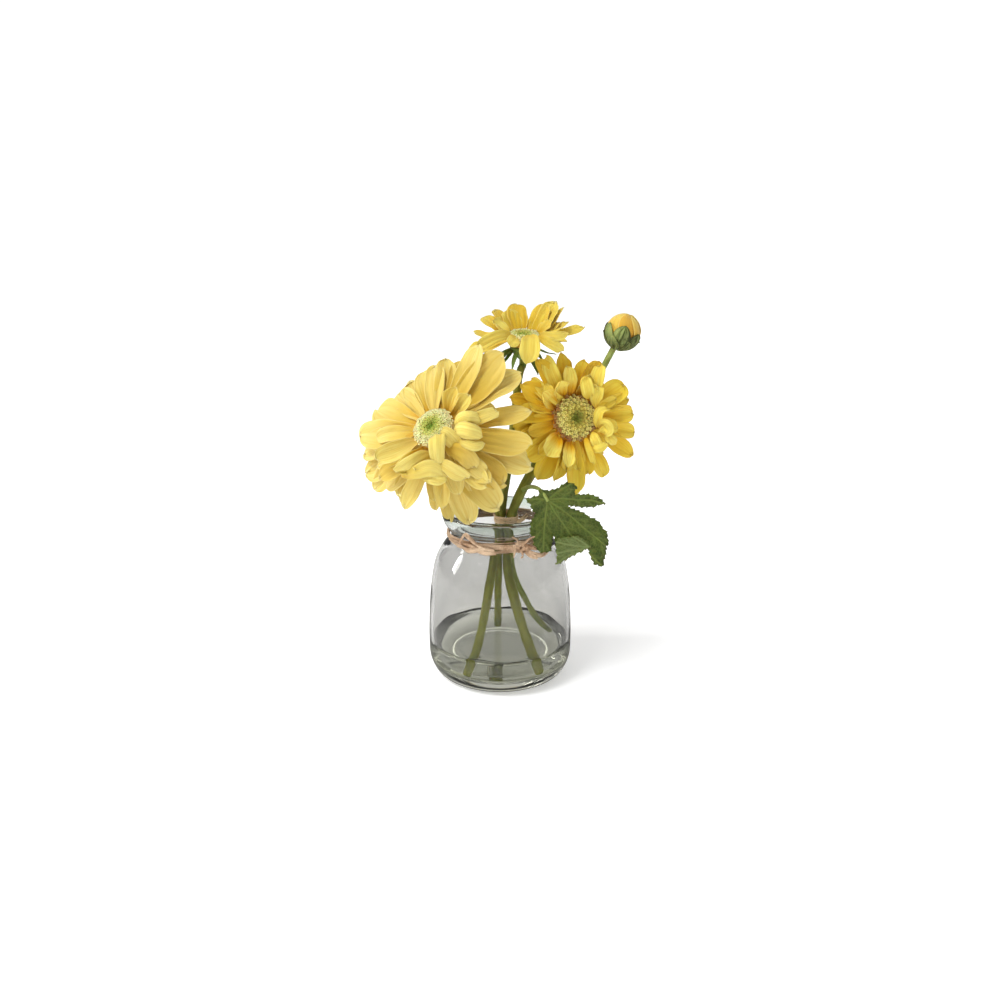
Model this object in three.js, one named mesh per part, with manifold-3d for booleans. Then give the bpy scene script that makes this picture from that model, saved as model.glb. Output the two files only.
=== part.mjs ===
// Three daisies, a bud and a lobed leaf, tied with raffia, standing in a glass jar of water.
// Millimetres, +Z up. The origin is the middle of the jar's underside.
import * as THREE from 'three';
import Module from 'manifold-3d';
import { mergeVertices } from 'three/addons/utils/BufferGeometryUtils.js';

// ---------------------------------------------------------------- driving dimensions

const GAP = 0.3;                 // clearance between neighbouring pieces
const BLADE = 0.65;              // thickness of petals, bracts and the leaf

const JAR = { segments: 24, footRadius: 29, height: 98.4, floor: 6.6 };
// Outside of the jar, foot to lip: heel, body, shoulder, neck and flare.
const JAR_OUTSIDE = [
  [JAR.footRadius, 0], [36.8, 2.4], [41.3, 10.5], [42, 22], [41.5, 38], [40.4, 53],
  [37.6, 68.7], [32.6, 78.6], [28.6, 82.8], [28.7, 87], [31.6, 91], [33.2, 95.4],
];
// Inside of the jar, lip to floor.
const JAR_INSIDE = [
  [30.4, JAR.height], [27.6, 96], [25.5, 90], [25.3, 84], [28.8, 77.8], [34.4, 68],
  [37.4, 55], [38.6, 40], [39, 24], [38.3, 13], [34.5, 8.6], [28, JAR.floor + 0.3],
];
const WATER_LEVEL = 20.6;

const TIE = { x: 3.4, y: -0.6, z: 93.6, radius: 7.9, wraps: 3, pitch: 2.5 };
const BAND = { z: 84.4, radius: 30.3, strand: 3, thickness: 1.2 };

// Stems: radius and the points the middle of each passes through, foot to calyx.
const STEMS = {
  large: {
    radius: 2.4,
    path: [[-17.2, -27.2, 9.8], [-14.3, -28.4, 19.5], [-9.8, -21.5, 36.3], [-5.6, -10.8, 59],
      [-2.3, -4.8, 78], [0, -3, 94], [-3.5, -2, 105], [-12, -1, 120], [-24, -6, 136]],
  },
  right: {
    radius: 2.8,
    path: [[20.2, -24.2, 10.4], [18.2, -27.6, 20], [12.4, -20.5, 35.7], [8, -14.4, 50],
      [4.2, -7.6, 68], [6.2, -3.2, 94], [11.6, -1.5, 108], [21, 4, 124], [31, 11, 140]],
  },
  top: {
    radius: 2.2,
    path: [[-1.5, 24.5, 10], [-1.3, 23.2, 20.6], [-1.3, 17.5, 36.5], [-0.9, 9.5, 60],
      [0.4, 4.6, 80], [0.9, 2.6, 94], [3.6, 5, 114], [8, 4.5, 150], [11, 4, 176]],
  },
  bud: {
    radius: 1.8,
    path: [[31, 12.5, 14], [28.2, 12, 20], [21.5, 11, 28.1], [14.8, 8.5, 41.8], [10.2, 6.9, 52],
      [7, 5.5, 62], [5.9, 4, 76], [6.4, 2.7, 94], [12, 9, 108], [25, 17, 130], [42, 20, 154],
      [57, 15, 176]],
  },
};
const STUB = { path: [[1.3, -0.2, 86], [2.6, -0.3, 70], [3.3, 0.4, 55]], radius: 1.5 };

// Blooms. centre: where the disc meets the receptacle. facing: the way the disc looks.
// petals: outer petals, inner: short curled ones round the disc, each
// [azimuth, length, width, lift, curl, side] in degrees and mm.
// Azimuth runs anticlockwise as the disc is seen, from its own right.
const BLOOMS = {
  large: {
    centre: [-33.5, -30, 149],
    facing: [-0.22, -0.87, 0.44],
    discRadius: 10.8,
    seed: 11,
    petals: [
      // right side and lower right, long and open
      [20, 41, 11, -20, 4, 0], [27, 24, 11, -4, -8, 0], [-2, 41, 15, -22, 6, 0],
      [-14, 43, 17, -25, 2, 0], [-32, 36, 16, -27, 4, 0], [-47, 43, 17, -30, 6, 0],
      [-68, 43, 15, -28, -2, 0], [-79, 42, 6, -42, 14, -3], [-87, 37, 6, -44, 8, -5],
      // lower left and left, bent back
      [-122, 38, 14, -32, -2, 0], [-144, 45, 13, -28, -4, 0], [-133, 33, 14, -16, -10, 0],
      [-157, 46, 17, -26, -8, 0], [-170, 45, 16, -24, -8, 0], [-180, 43, 17, -18, -10, 0],
      // upper left, leaning back
      [170, 38, 16, -20, -10, 0], [160, 38, 18, -18, -10, 0], [141, 34, 14, -24, -8, 0],
      [127, 33, 13, -22, -6, 0], [114, 33, 13, -18, -8, 0], [103, 33, 12, -14, -4, 0],
      [93, 34, 12, -12, 4, 0],
      // upper right, tall
      [82, 35, 10, -14, 0, 0], [69, 41, 13, -2, 6, 0], [54, 43, 19, 2, -6, 0],
      [43, 45, 16, -8, -2, 0],
    ],
    inner: [
      [66, 17, 9, 34, 10, 0], [48, 21, 11, 30, 14, 0], [18, 15, 12, 44, 60, 0],
      [-10, 16, 13, 40, 60, 0], [-26, 18, 8, 26, 30, 0], [-44, 26, 15, 4, 14, 0],
      [-62, 22, 11, 0, 10, 0], [-78, 18, 11, 34, 50, 0], [-100, 15, 10, 40, 50, 0],
      [-136, 26, 12, 4, 50, 0],
    ],
  },
  right: {
    centre: [41.2, 0, 151],
    facing: [0.36, -0.91, 0.2],
    discRadius: 12.6,
    seed: 23,
    petals: [
      [113, 25, 12, -8, 0, 0], [94, 25, 11, -6, 0, 0], [122, 27, 11, 6, 0, 0],
      [146, 24, 14, 4, 4, 0], [159, 26, 10, -10, 0, 0], [171, 23, 13, -12, 0, 0],
      [185, 23, 13, -14, 2, 0], [199, 23, 12, -18, 0, 0], [215, 24, 14, -14, 0, 0],
      [239, 28, 15, -14, 0, 0], [253, 25, 9, -12, 0, 0], [271, 32, 13, -10, 0, 0],
      [286, 22, 12, -10, 0, 0], [300, 31, 10, -10, -6, 2], [329, 34, 12, -12, 0, 0],
      [347, 34, 11, -10, 0, 0], [1, 31, 12, -10, 0, 0], [14, 28, 11, -10, 0, 0],
      [26, 28, 16, -4, 0, 0], [63, 24, 13, 8, 10, 0], [78, 21, 10, 8, 6, 0],
    ],
    inner: [
      [74, 14, 9, 34, 20, 0], [100, 15, 9, 34, -10, 0], [126, 14, 9, 38, 40, 0],
      [222, 17, 12, 20, 30, 0], [252, 15, 8, 30, 10, 0], [284, 17, 6, 14, 10, 0],
      [306, 12, 9, 40, 80, 0], [330, 12, 8, 50, 100, 0], [356, 12, 8, 52, 100, 0],
      [22, 12, 7, 52, 60, 0],
    ],
  },
  top: {
    centre: [12.8, 4, 195.4],
    facing: [0, -0.27, 0.96],
    discRadius: 8.6,
    seed: 37,
    petals: [
      // back, standing up
      [71, 22, 12, 34, 8, 0], [100, 20, 14, 34, 8, 0], [112, 16, 11, 26, 4, 0],
      [127, 20, 10, 24, 8, 0], [145, 20, 12, 12, 6, 0], [60, 19, 11, 22, 4, 0],
      [49, 24, 11, 34, 8, 0], [36, 24, 6, 26, 6, 0], [20, 20, 12, 14, 8, 0],
      // sides
      [168, 21, 10, 0, 4, 0], [184, 23, 10, -20, -4, 0], [200, 19, 14, -8, -4, 0],
      [206, 24, 7, -22, -6, 0], [10, 27, 4, 12, 4, 0], [340, 17, 9, 2, -4, 0],
      // front, drooping
      [252, 9, 11, -10, -10, 0], [273, 17, 14, -28, -24, 0], [296, 10, 8, -24, -10, 0],
      [318, 18, 12, -14, -8, 0], [226, 14, 9, -20, -10, 0],
    ],
    inner: [
      [76, 10, 8, 40, 10, 0], [106, 10, 8, 40, 10, 0], [34, 10, 8, 36, 10, 0],
    ],
  },
};
const FLORETS = { turn: 137.508, count: 40, height: 1.5, rise: 3.6 };

// The bud: a closed ball of petals in six folds, wrapped by sepals. wrap: how far the petals
// stand in from the sepals, pleat: depth of the folds as a share of the ball.
const BUD = {
  centre: [68.4, 11, 198.2], facing: [0.34, -0.16, 0.93], radius: 10.2, wrap: 1.5, petals: 6, pleat: 0.1,
};

// The leaf in its own plane, from the point where its veins meet: [across, up].
const LEAF = { origin: [25.2, -30.5, 111.8], rings: 2 };
const LEAF_OUTLINE = [
  [-3.6, 6.1], [1.2, 5.1], [5.3, 6], [9.4, 10], [12.9, 9.6], [16, 8], [13.8, 3.4],
  [16.2, 3.4], [20.7, 3.6], [25.6, 2.9], [28.9, 0.8], [31.4, -1.9], [26.8, -2.1], [26.3, -3.2],
  [21, -3.6], [17.6, -4.1], [13.6, -3.5], [10.4, -3.3],
  [15.8, -5.5], [21, -7.1], [22, -8.6], [24.4, -9.2], [26.7, -10.7], [28.8, -12.4], [29, -13.9],
  [32.5, -17.1], [32.1, -18.8], [33.3, -22.9], [31.8, -24], [32, -26.6], [31.2, -31.6],
  [30.3, -36.4], [27.4, -35.3], [25.6, -35.3], [21.4, -31], [17, -29.4], [11.8, -32.4], [6.6, -35.8],
  [5.6, -30], [4.3, -22], [3.4, -19.4], [3.1, -24.8], [2.6, -28.5], [-2, -29.6], [-4.1, -29.1],
  [-5.8, -26.3], [-7.5, -24.8], [-7.3, -22.1], [-9.4, -18.8], [-9, -13.5], [-8.6, -11.7],
  [-6, -7.9], [-8.2, -6], [-9.1, -2.6], [-12, -0.2], [-9.4, 0.9], [-7.5, 1.9], [-4.1, 2.3],
  [-5.2, 4.9],
];
const FLAP_OUTLINE = [
  [23.3, -25.5], [4.3, -36.6], [5.5, -31.5], [4.9, -26.6], [4.5, -22.9], [5.3, -20.6],
  [9, -19.5], [12.8, -18.8], [16.2, -18.3], [19.8, -20.4], [23.7, -24],
];
const LEAF_STALK = {
  radius: 1.1,
  path: [[12.2, -1.6, 110.4], [15.5, -8, 114.6], [20, -19, 116.6], [24, -27.6, 114], [25.4, -30.8, 110.4]],
};

const COLOURS = {
  glass: 0xc9d2cc, water: 0xdfe6e0, stem: 0x6b7030, stemPale: 0x9aa552, cream: 0xe6cd78,
  gold: 0xcdaa32, discPale: 0xe4dc96, discGold: 0xbfa646, bud: 0xd9b040, raffia: 0xb8947a,
};

// ---------------------------------------------------------------- solids

const wasm = await Module();
wasm.setup();

/** A closed geometry as a solid that can be joined and cut. */
function solid(geometry) {
  const bare = geometry.clone();
  bare.deleteAttribute('normal');
  bare.deleteAttribute('uv');
  const merged = mergeVertices(bare, 1e-4);
  return new wasm.Manifold(new wasm.Mesh({
    numProp: 3,
    vertProperties: new Float32Array(merged.attributes.position.array),
    triVerts: new Uint32Array(merged.index.array),
  }));
}

/** The triangles of a mesh in groups, one for each shell that hangs together edge to edge. */
function shellsOf(index) {
  const count = index.length / 3;
  const parent = Array.from({ length: count }, (_, i) => i);
  const rootOf = (i) => {
    let root = i;
    while (parent[root] !== root) root = parent[root];
    parent[i] = root;
    return root;
  };
  const owners = new Map();
  for (let triangle = 0; triangle < count; triangle += 1) {
    for (let side = 0; side < 3; side += 1) {
      const from = index[3 * triangle + side];
      const to = index[3 * triangle + ((side + 1) % 3)];
      const edge = `${Math.min(from, to)}_${Math.max(from, to)}`;
      if (owners.has(edge)) parent[rootOf(owners.get(edge))] = rootOf(triangle);
      else owners.set(edge, triangle);
    }
  }
  const shells = new Map();
  for (let triangle = 0; triangle < count; triangle += 1) {
    const root = rootOf(triangle);
    if (!shells.has(root)) shells.set(root, []);
    shells.get(root).push(...index.slice(3 * triangle, 3 * triangle + 3));
  }
  return [...shells.values()];
}

/** Six times the volume inside a shell: negative for the wall of a sealed hollow. */
function signedVolume(positions, shell) {
  const corner = (i) => new THREE.Vector3().fromArray(positions, 3 * i);
  let sum = 0;
  for (let i = 0; i < shell.length; i += 3) {
    sum += corner(shell[i]).dot(corner(shell[i + 1]).cross(corner(shell[i + 2])));
  }
  return sum;
}

/** The largest shell of a solid as a geometry: hollows are filled and loose scraps dropped. */
function geometryOf(body) {
  const mesh = body.getMesh();
  const positions = Array.from(mesh.vertProperties);
  const shells = shellsOf(mesh.triVerts);
  shells.sort((a, b) => signedVolume(positions, b) - signedVolume(positions, a));
  const geometry = new THREE.BufferGeometry();
  geometry.setAttribute('position', new THREE.Float32BufferAttribute(positions, 3));
  geometry.setIndex(shells[0]);
  geometry.computeVertexNormals();
  return geometry;
}

/** All the solids of a list joined in one. */
function union(solids) {
  return solids.reduce((sum, next) => sum.add(next));
}

/** A repeatable stream of numbers from 0 to 1. */
function draws(seed) {
  let state = seed >>> 0;
  return () => {
    state = (state * 1664525 + 1013904223) >>> 0;
    return state / 4294967296;
  };
}

/** The matrix of a bloom's own frame: X to its right, Y up its face, Z out of the disc. */
function bloomFrame(centre, facing) {
  const normal = new THREE.Vector3(...facing).normalize();
  const right = new THREE.Vector3(0, 0, 1).cross(normal).normalize();
  const up = normal.clone().cross(right);
  return new THREE.Matrix4().makeBasis(right, up, normal).setPosition(new THREE.Vector3(...centre));
}

/** A body turned from a profile that runs from axis to axis, or a ring from a closed one. */
function turned(profile, segments) {
  const points = profile.map(([r, z]) => new THREE.Vector2(r, z));
  return new THREE.LatheGeometry(points, segments).rotateX(Math.PI / 2);
}

/** A smooth run of [radius, height] points through the ones given. */
function smooth(points, count) {
  const curve = new THREE.SplineCurve(points.map(([r, z]) => new THREE.Vector2(r, z)));
  return curve.getPoints(count).map((p) => [p.x, p.y]);
}

/** The smooth curve through the points given. */
function curveOf(path) {
  return new THREE.CatmullRomCurve3(path.map((p) => new THREE.Vector3(...p)), false, 'centripetal');
}

/** A round tube along a smooth curve. */
function tube(path, radius, sides, steps) {
  const section = new THREE.Shape();
  for (let i = 0; i < sides; i += 1) {
    const angle = (2 * Math.PI * i) / sides;
    const place = [radius * Math.cos(angle), radius * Math.sin(angle)];
    if (i === 0) section.moveTo(...place);
    else section.lineTo(...place);
  }
  return new THREE.ExtrudeGeometry(section, { steps, bevelEnabled: false, extrudePath: curveOf(path) });
}

/**
 * A closed blade on a grid. middle(t, s) gives the middle surface's point and its normal,
 * with t from 0 to 1 along the blade and s from -1 to 1 across it. Both faces share one split.
 */
function blade(along, across, middle, thickness) {
  const positions = [];
  for (const side of [1, -1]) {
    for (const t of along) {
      for (const s of across) {
        const { point, normal } = middle(t, s);
        point.addScaledVector(normal, (side * thickness) / 2);
        positions.push(point.x, point.y, point.z);
      }
    }
  }
  const rows = along.length;
  const columns = across.length;
  const back = rows * columns;
  const at = (row, column) => row * columns + column;
  const index = [];
  for (let row = 0; row < rows - 1; row += 1) {
    for (let column = 0; column < columns - 1; column += 1) {
      const [a, b] = [at(row, column), at(row, column + 1)];
      const [d, c] = [at(row + 1, column), at(row + 1, column + 1)];
      index.push(a, c, b, a, d, c);
      index.push(back + a, back + b, back + c, back + a, back + c, back + d);
    }
  }
  const rim = [];
  for (let column = 0; column < columns - 1; column += 1) rim.push(at(0, column));
  for (let row = 0; row < rows - 1; row += 1) rim.push(at(row, columns - 1));
  for (let column = columns - 1; column > 0; column -= 1) rim.push(at(rows - 1, column));
  for (let row = rows - 1; row > 0; row -= 1) rim.push(at(row, 0));
  rim.forEach((here, i) => {
    const next = rim[(i + 1) % rim.length];
    index.push(here, next, back + here, next, back + next, back + here);
  });
  const geometry = new THREE.BufferGeometry();
  geometry.setAttribute('position', new THREE.Float32BufferAttribute(positions, 3));
  geometry.setIndex(index);
  return geometry;
}

const PETAL_ROWS = [0, 0.4, 0.82, 1];
const PETAL_COLUMNS = [-1, 0, 1];

/** A petal's half-width as a share of its widest, t from root to tip: slim root, blunt round tip. */
function petalOutline(t) {
  const swell = 0.28 + 0.72 * Math.sin((Math.PI / 2) * Math.min(1, t / 0.6));
  const tip = Math.sqrt(Math.max(0, 1 - Math.max(0, (t - 0.6) / 0.4) ** 3));
  return Math.max(0.34, swell * tip);
}

/**
 * A petal in its bloom's frame. root: [radius, height] of its start. lift: its angle over the
 * disc's plane at the root, curl: how much that grows to the tip, side: sideways sweep at the tip,
 * cup: how far its edges rise, as a share of its half-width.
 */
function petal(root, [azimuth, length, width, lift, curl, side], cup = 0.14, rows = PETAL_ROWS) {
  const a = THREE.MathUtils.degToRad(azimuth);
  const radial = new THREE.Vector3(Math.cos(a), Math.sin(a), 0);
  const across = new THREE.Vector3(-Math.sin(a), Math.cos(a), 0);
  const axis = new THREE.Vector3(0, 0, 1);
  const start = THREE.MathUtils.degToRad(lift);
  const grow = THREE.MathUtils.degToRad(curl || 1e-3);
  const middle = (t, s) => {
    const angle = start + grow * t;
    const out = (length / grow) * (Math.sin(angle) - Math.sin(start));
    const rise = (length / grow) * (Math.cos(start) - Math.cos(angle));
    const half = (width / 2) * petalOutline(t);
    const normal = axis.clone().multiplyScalar(Math.cos(angle)).addScaledVector(radial, -Math.sin(angle));
    const point = radial.clone().multiplyScalar(root[0] + out)
      .addScaledVector(axis, root[1] + rise)
      .addScaledVector(across, s * half + side * t * t)
      .addScaledVector(normal, cup * half * s * s);
    return { point, normal };
  };
  return blade(rows, PETAL_COLUMNS, middle, BLADE);
}

// ---------------------------------------------------------------- blooms

/** The petals of a bloom in layers on its receptacle. */
function bloomPetals(bloom) {
  const rim = bloom.discRadius;
  const receptacle = solid(turned([
    [0, -6], [4, -6], [rim - 1.6, -3.8], [rim + 0.8, -2.2], [rim + 0.8, 0], [0, 0],
  ], 12));
  const outer = bloom.petals.map((row, i) => petal([rim - 1.4, -2.6 + 0.95 * (i % 3)], row));
  const inner = bloom.inner.map((row, i) => petal([rim - 0.2, -0.9 - 0.3 * (i % 2)], row, 0.3));
  const rooted = union([receptacle, ...[...outer, ...inner].map(solid)]);
  const dish = solid(turned([[0, 0], [rim + 0.05, 0], [rim + 0.05, 5.5], [0, 5.5]], 14));
  return rooted.subtract(dish);
}

/** The florets of a disc in a spiral on a low dome with a sunken eye. */
function bloomDisc(bloom) {
  const edge = bloom.discRadius - GAP;
  const height = (share) => {
    const eye = 0.55 + 0.45 * Math.min(1, share / 0.35);
    return GAP + FLORETS.rise * (1 - share ** 3) * eye;
  };
  const profile = [[0, GAP], [edge, GAP]];
  for (const share of [1, 0.8, 0.35]) profile.push([edge * share, height(share) + 0.4]);
  profile.push([0, height(0) + 0.4]);
  const florets = [];
  for (let i = 2; i < FLORETS.count; i += 1) {
    const share = Math.sqrt((i + 0.5) / FLORETS.count) * 0.86;
    const angle = THREE.MathUtils.degToRad(FLORETS.turn * i);
    const size = edge * (0.075 + 0.045 * share);
    const cone = new THREE.ConeGeometry(size, FLORETS.height * 2, 3).rotateX(Math.PI / 2).rotateZ(angle);
    cone.translate(edge * share * Math.cos(angle), edge * share * Math.sin(angle), height(share) + 0.4);
    florets.push(solid(cone));
  }
  return union([solid(turned(profile, 14)), ...florets]);
}

/** The green cup and pointed bracts under a bloom, in the bloom's frame. */
function calyx(bloom, bracts) {
  const rim = bloom.discRadius;
  const cup = solid(turned([
    [0, -12.5], [2.6, -12.5], [5.4, -9.6], [rim - 1.2, -5.6], [rim - 1.4, -4.7], [rim - 2, -4.1 - GAP],
    [4, -6 - GAP], [0, -6 - GAP],
  ], 10));
  const blades = bracts.map((row) => solid(petal([rim - 3.2, -5.9], row, 0.3, [0, 0.6, 1])));
  return union([cup, ...blades]);
}

/** Bracts evenly round a bloom, leaning back, with seeded differences. */
function bractRing(bloom, count) {
  const draw = draws(bloom.seed);
  return Array.from({ length: count }, (_, i) => [
    (360 * i) / count + 8 * draw(), 7 + 2 * draw(), 4, -62 - 10 * draw(), 18, 0,
  ]);
}

// ---------------------------------------------------------------- bud and leaf

/** The closed petals of the bud: a ball with overlapping petals raised in a slow turn. */
function budPetals() {
  const ball = new THREE.SphereGeometry(BUD.radius - BUD.wrap, 24, 9).rotateX(Math.PI / 2);
  const position = ball.attributes.position;
  for (let i = 0; i < position.count; i += 1) {
    const point = new THREE.Vector3().fromBufferAttribute(position, i);
    const height = point.z / BUD.radius;
    const turn = (Math.atan2(point.y, point.x) / (2 * Math.PI) + 1 + 0.08 * height) * BUD.petals;
    const share = Math.round((turn % 1) * 4) / 4 % 1;
    const bare = 1 - height * height;
    point.multiplyScalar(1 - BUD.pleat * share * bare);
    position.setXYZ(i, point.x, point.y, point.z);
  }
  return solid(ball);
}

/** The overlapping sepals that hold the bud. */
function budSepals() {
  const reach = BUD.radius + 0.4;
  const seat = -BUD.radius + BUD.wrap - GAP;
  const rows = [0.12, 0.4, 0.72, 1];
  const sepals = [200, 262, 318, 20, 75, 140].map((azimuth, i) => (
    solid(petal([0.1, -reach], [azimuth, reach * (1.75 + 0.16 * (i % 2)), 13, 2, 104, 0], 0.3, rows))
  ));
  const neck = [[0, -reach - 2.6], [2, -reach - 2.6], [5.4, -reach + 1.2], [4.4, seat], [0, seat]];
  return union([solid(turned(neck, 8)), ...sepals]);
}

/** How far the leaf stands out in front of its plane: it arches over and waves. */
function leafBend(across, up) {
  const reach = Math.hypot(across, up);
  return -0.0016 * reach * reach + 0.9 * Math.sin(across * 0.33) * Math.sin(up * 0.24) - 0.06 * across;
}

/** A flat outline as a closed plate between two faces bent alike, ring by ring from a hub. */
function plate(outline, hub, rings, bend) {
  const positions = [];
  const count = outline.length;
  for (const side of [-0.5, 0.5]) {
    positions.push(hub[0], bend(...hub) + side * BLADE, hub[1]);
    for (let ring = 1; ring <= rings; ring += 1) {
      for (const [x, z] of outline) {
        const at = [hub[0] + ((x - hub[0]) * ring) / rings, hub[1] + ((z - hub[1]) * ring) / rings];
        positions.push(at[0], bend(...at) + side * BLADE, at[1]);
      }
    }
  }
  const back = 1 + rings * count;
  const place = (ring, i) => 1 + (ring - 1) * count + (i % count);
  const index = [];
  for (let i = 0; i < count; i += 1) {
    index.push(0, place(1, i + 1), place(1, i));
    index.push(back, back + place(1, i), back + place(1, i + 1));
    for (let ring = 1; ring < rings; ring += 1) {
      const [a, b] = [place(ring, i), place(ring, i + 1)];
      const [d, c] = [place(ring + 1, i), place(ring + 1, i + 1)];
      index.push(a, c, d, a, b, c);
      index.push(back + a, back + d, back + c, back + a, back + c, back + b);
    }
    const [edge, next] = [place(rings, i), place(rings, i + 1)];
    index.push(edge, next, back + edge, next, back + next, back + edge);
  }
  const geometry = new THREE.BufferGeometry();
  geometry.setAttribute('position', new THREE.Float32BufferAttribute(positions, 3));
  geometry.setIndex(index);
  return geometry;
}

/** The leaf with its folded lobe and its stalk. */
function leaf() {
  const main = plate(LEAF_OUTLINE, [0, 0], LEAF.rings, leafBend);
  const fold = (x, z) => leafBend(x, z) - 0.5 - 0.22 * Math.max(0, z + 39.1 - 0.584 * x);
  const flap = plate(FLAP_OUTLINE, [13, -24.5], 1, fold);
  const blades = [main, flap].map((g) => solid(g.translate(...LEAF.origin)));
  return union([...blades, solid(tube(LEAF_STALK.path, LEAF_STALK.radius, 6, 8))]);
}

// ---------------------------------------------------------------- jar, water and raffia

function jar() {
  const outside = smooth(JAR_OUTSIDE, 10);
  const lip = [[32.9, 97.4], [31.8, 98.3]];
  const inside = smooth(JAR_INSIDE, 8);
  return solid(turned([[0, 0], ...outside, ...lip, ...inside, [0, JAR.floor]], JAR.segments));
}

/** The space inside the jar up to a level, standing clear of the glass. */
function water(stems) {
  const wall = smooth(JAR_INSIDE, 8).filter(([, z]) => z < WATER_LEVEL - 0.5).reverse();
  const edge = 39 - GAP;
  const profile = [
    [0, JAR.floor + GAP],
    ...wall.map(([r, z]) => [r - GAP, z + GAP * 0.8]),
    [edge, WATER_LEVEL + 0.7], [edge - 1.2, WATER_LEVEL + 0.1], [edge - 3, WATER_LEVEL], [0, WATER_LEVEL],
  ];
  return solid(turned(profile, JAR.segments)).subtract(union(stems));
}

/** One flat strand of raffia laid along a curve. */
function strand(path, width, thickness, steps) {
  const section = new THREE.Shape();
  for (let i = 0; i < 4; i += 1) {
    const angle = (Math.PI * i) / 2;
    const place = [(thickness / 2) * Math.cos(angle), (width / 2) * Math.sin(angle)];
    if (i === 0) section.moveTo(...place);
    else section.lineTo(...place);
  }
  return new THREE.ExtrudeGeometry(section, { steps, bevelEnabled: false, extrudePath: curveOf(path) });
}

/** A closed wrap of raffia round the Z axis, waving by a formula. */
function wrap(radius, width, thickness, segments, wave) {
  const half = [thickness / 2, width / 2];
  const section = [[-1, -0.6], [0.6, -1], [1, 0], [0.6, 1], [-1, 0.6], [-1, -0.6]];
  const ring = turned(section.map(([x, z]) => [radius + half[0] * x, half[1] * z]), segments);
  const position = ring.attributes.position;
  for (let i = 0; i < position.count; i += 1) {
    const angle = Math.atan2(position.getY(i), position.getX(i));
    position.setZ(i, position.getZ(i) + wave(angle));
  }
  return ring;
}

/** The wraps that tie the stems together, with the tail that stands up behind. */
function raffiaTie(stems) {
  const wraps = [];
  for (let i = 0; i < TIE.wraps; i += 1) {
    const lean = (angle) => 0.9 * Math.sin(angle * (i % 2 ? 1 : -1) + 2 * i);
    const ring = wrap(TIE.radius, 3.1, 1.7, 10, lean);
    wraps.push(solid(ring.translate(TIE.x, TIE.y, TIE.z + (i - 1) * TIE.pitch)));
  }
  const tail = [[10.6, -3.4, 92.2], [13.4, -5.2, 93.4], [16.2, -5.4, 97], [17.4, -4.8, 101]];
  const loop = [[10.9, -1.4, 93.6], [14, -2.6, 96], [15.4, -2.8, 100.4], [16.6, -3, 101.4], [17.2, -4, 99.6]];
  const ends = [strand(tail, 1.6, 0.9, 8), strand(loop, 1.4, 0.9, 10)];
  return union([...wraps, ...ends.map(solid)]).subtract(union(stems));
}

/** The strands round the jar's neck, with knot, loop and tails. */
function raffiaBand() {
  const { radius, strand: width, thickness } = BAND;
  const upper = wrap(radius, width, thickness, 20, (angle) => 1.5 + 0.3 * Math.sin(2 * angle));
  const lower = wrap(radius + 0.3, width, thickness, 20, (angle) => -1.5 + 0.3 * Math.sin(angle + 1));
  const parts = [upper, lower].map((g) => solid(g.translate(0, 0, BAND.z)));
  const knot = new THREE.SphereGeometry(1, 7, 5).scale(4.8, 2.4, 3.4).translate(11.8, -29.6, 85);
  const loop = [[-14, -27, 86], [-17.6, -29.6, 91], [-20.6, -28.4, 91.4], [-21.6, -25.4, 87], [-18, -25, 83.8]];
  const fold = [[-22, -21.4, 84], [-18.4, -26.6, 82.6], [-13, -29.8, 83.6], [-8, -30.2, 85.6]];
  const tail = [[13, -29.6, 85.4], [17.6, -30.4, 82], [23, -28.6, 81], [27.4, -26, 82.4]];
  const end = [[9.5, -30.2, 87], [7, -32.2, 83.4], [6.4, -33.2, 79.8]];
  const spur = [[13, -30.4, 87.5], [16, -33, 91.4], [19, -33.4, 92.6]];
  const strands = [
    strand(loop, 2.2, 1, 10), strand(fold, 3.4, 1.1, 6), strand(tail, 3.8, 1.1, 6),
    strand(end, 2.4, 1, 5), strand(spur, 2, 1, 5),
  ];
  return union([...parts, solid(knot), ...strands.map(solid)]);
}

// ---------------------------------------------------------------- assembly

const group = new THREE.Group();

function addMesh(name, body, colour, roughness = 0.7) {
  const material = new THREE.MeshStandardMaterial({ color: colour, roughness, metalness: 0 });
  const mesh = new THREE.Mesh(geometryOf(body), material);
  mesh.name = name;
  group.add(mesh);
}

const budFrame = bloomFrame(BUD.centre, BUD.facing);
const frames = {};
for (const [name, bloom] of Object.entries(BLOOMS)) frames[name] = bloomFrame(bloom.centre, bloom.facing);

/** A stem's path, ending in the head's own frame so that it runs straight into it. */
function stemPath(name, frame, depth) {
  const joint = new THREE.Vector3(0, 0, -depth).applyMatrix4(frame);
  const below = new THREE.Vector3(0, 0, -depth - 5).applyMatrix4(frame);
  return [...STEMS[name].path, below.toArray(), joint.toArray()];
}

const heads = {
  large: { frame: frames.large, depth: 11, parts: calyx(BLOOMS.large, bractRing(BLOOMS.large, 8)) },
  right: { frame: frames.right, depth: 11, parts: calyx(BLOOMS.right, bractRing(BLOOMS.right, 8)) },
  top: {
    frame: frames.top,
    depth: 11,
    parts: calyx(BLOOMS.top, [
      [196, 20, 3, -42, 8, 0], [206, 16, 3.4, -48, 10, 0], [216, 20, 2.6, -52, 6, 0],
      [238, 12, 3, -62, 10, 0], [276, 9, 4, -78, 10, 0], [312, 15, 5.4, -66, 6, 0],
      [340, 9, 4, -52, 10, 0], [12, 15, 3, -30, 10, 0],
      [50, 8, 4, -58, 10, 0], [100, 8, 4, -58, 10, 0], [150, 9, 4, -55, 10, 0],
    ]),
  },
  bud: { frame: budFrame, depth: BUD.radius + 1.2, parts: budSepals() },
};

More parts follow.
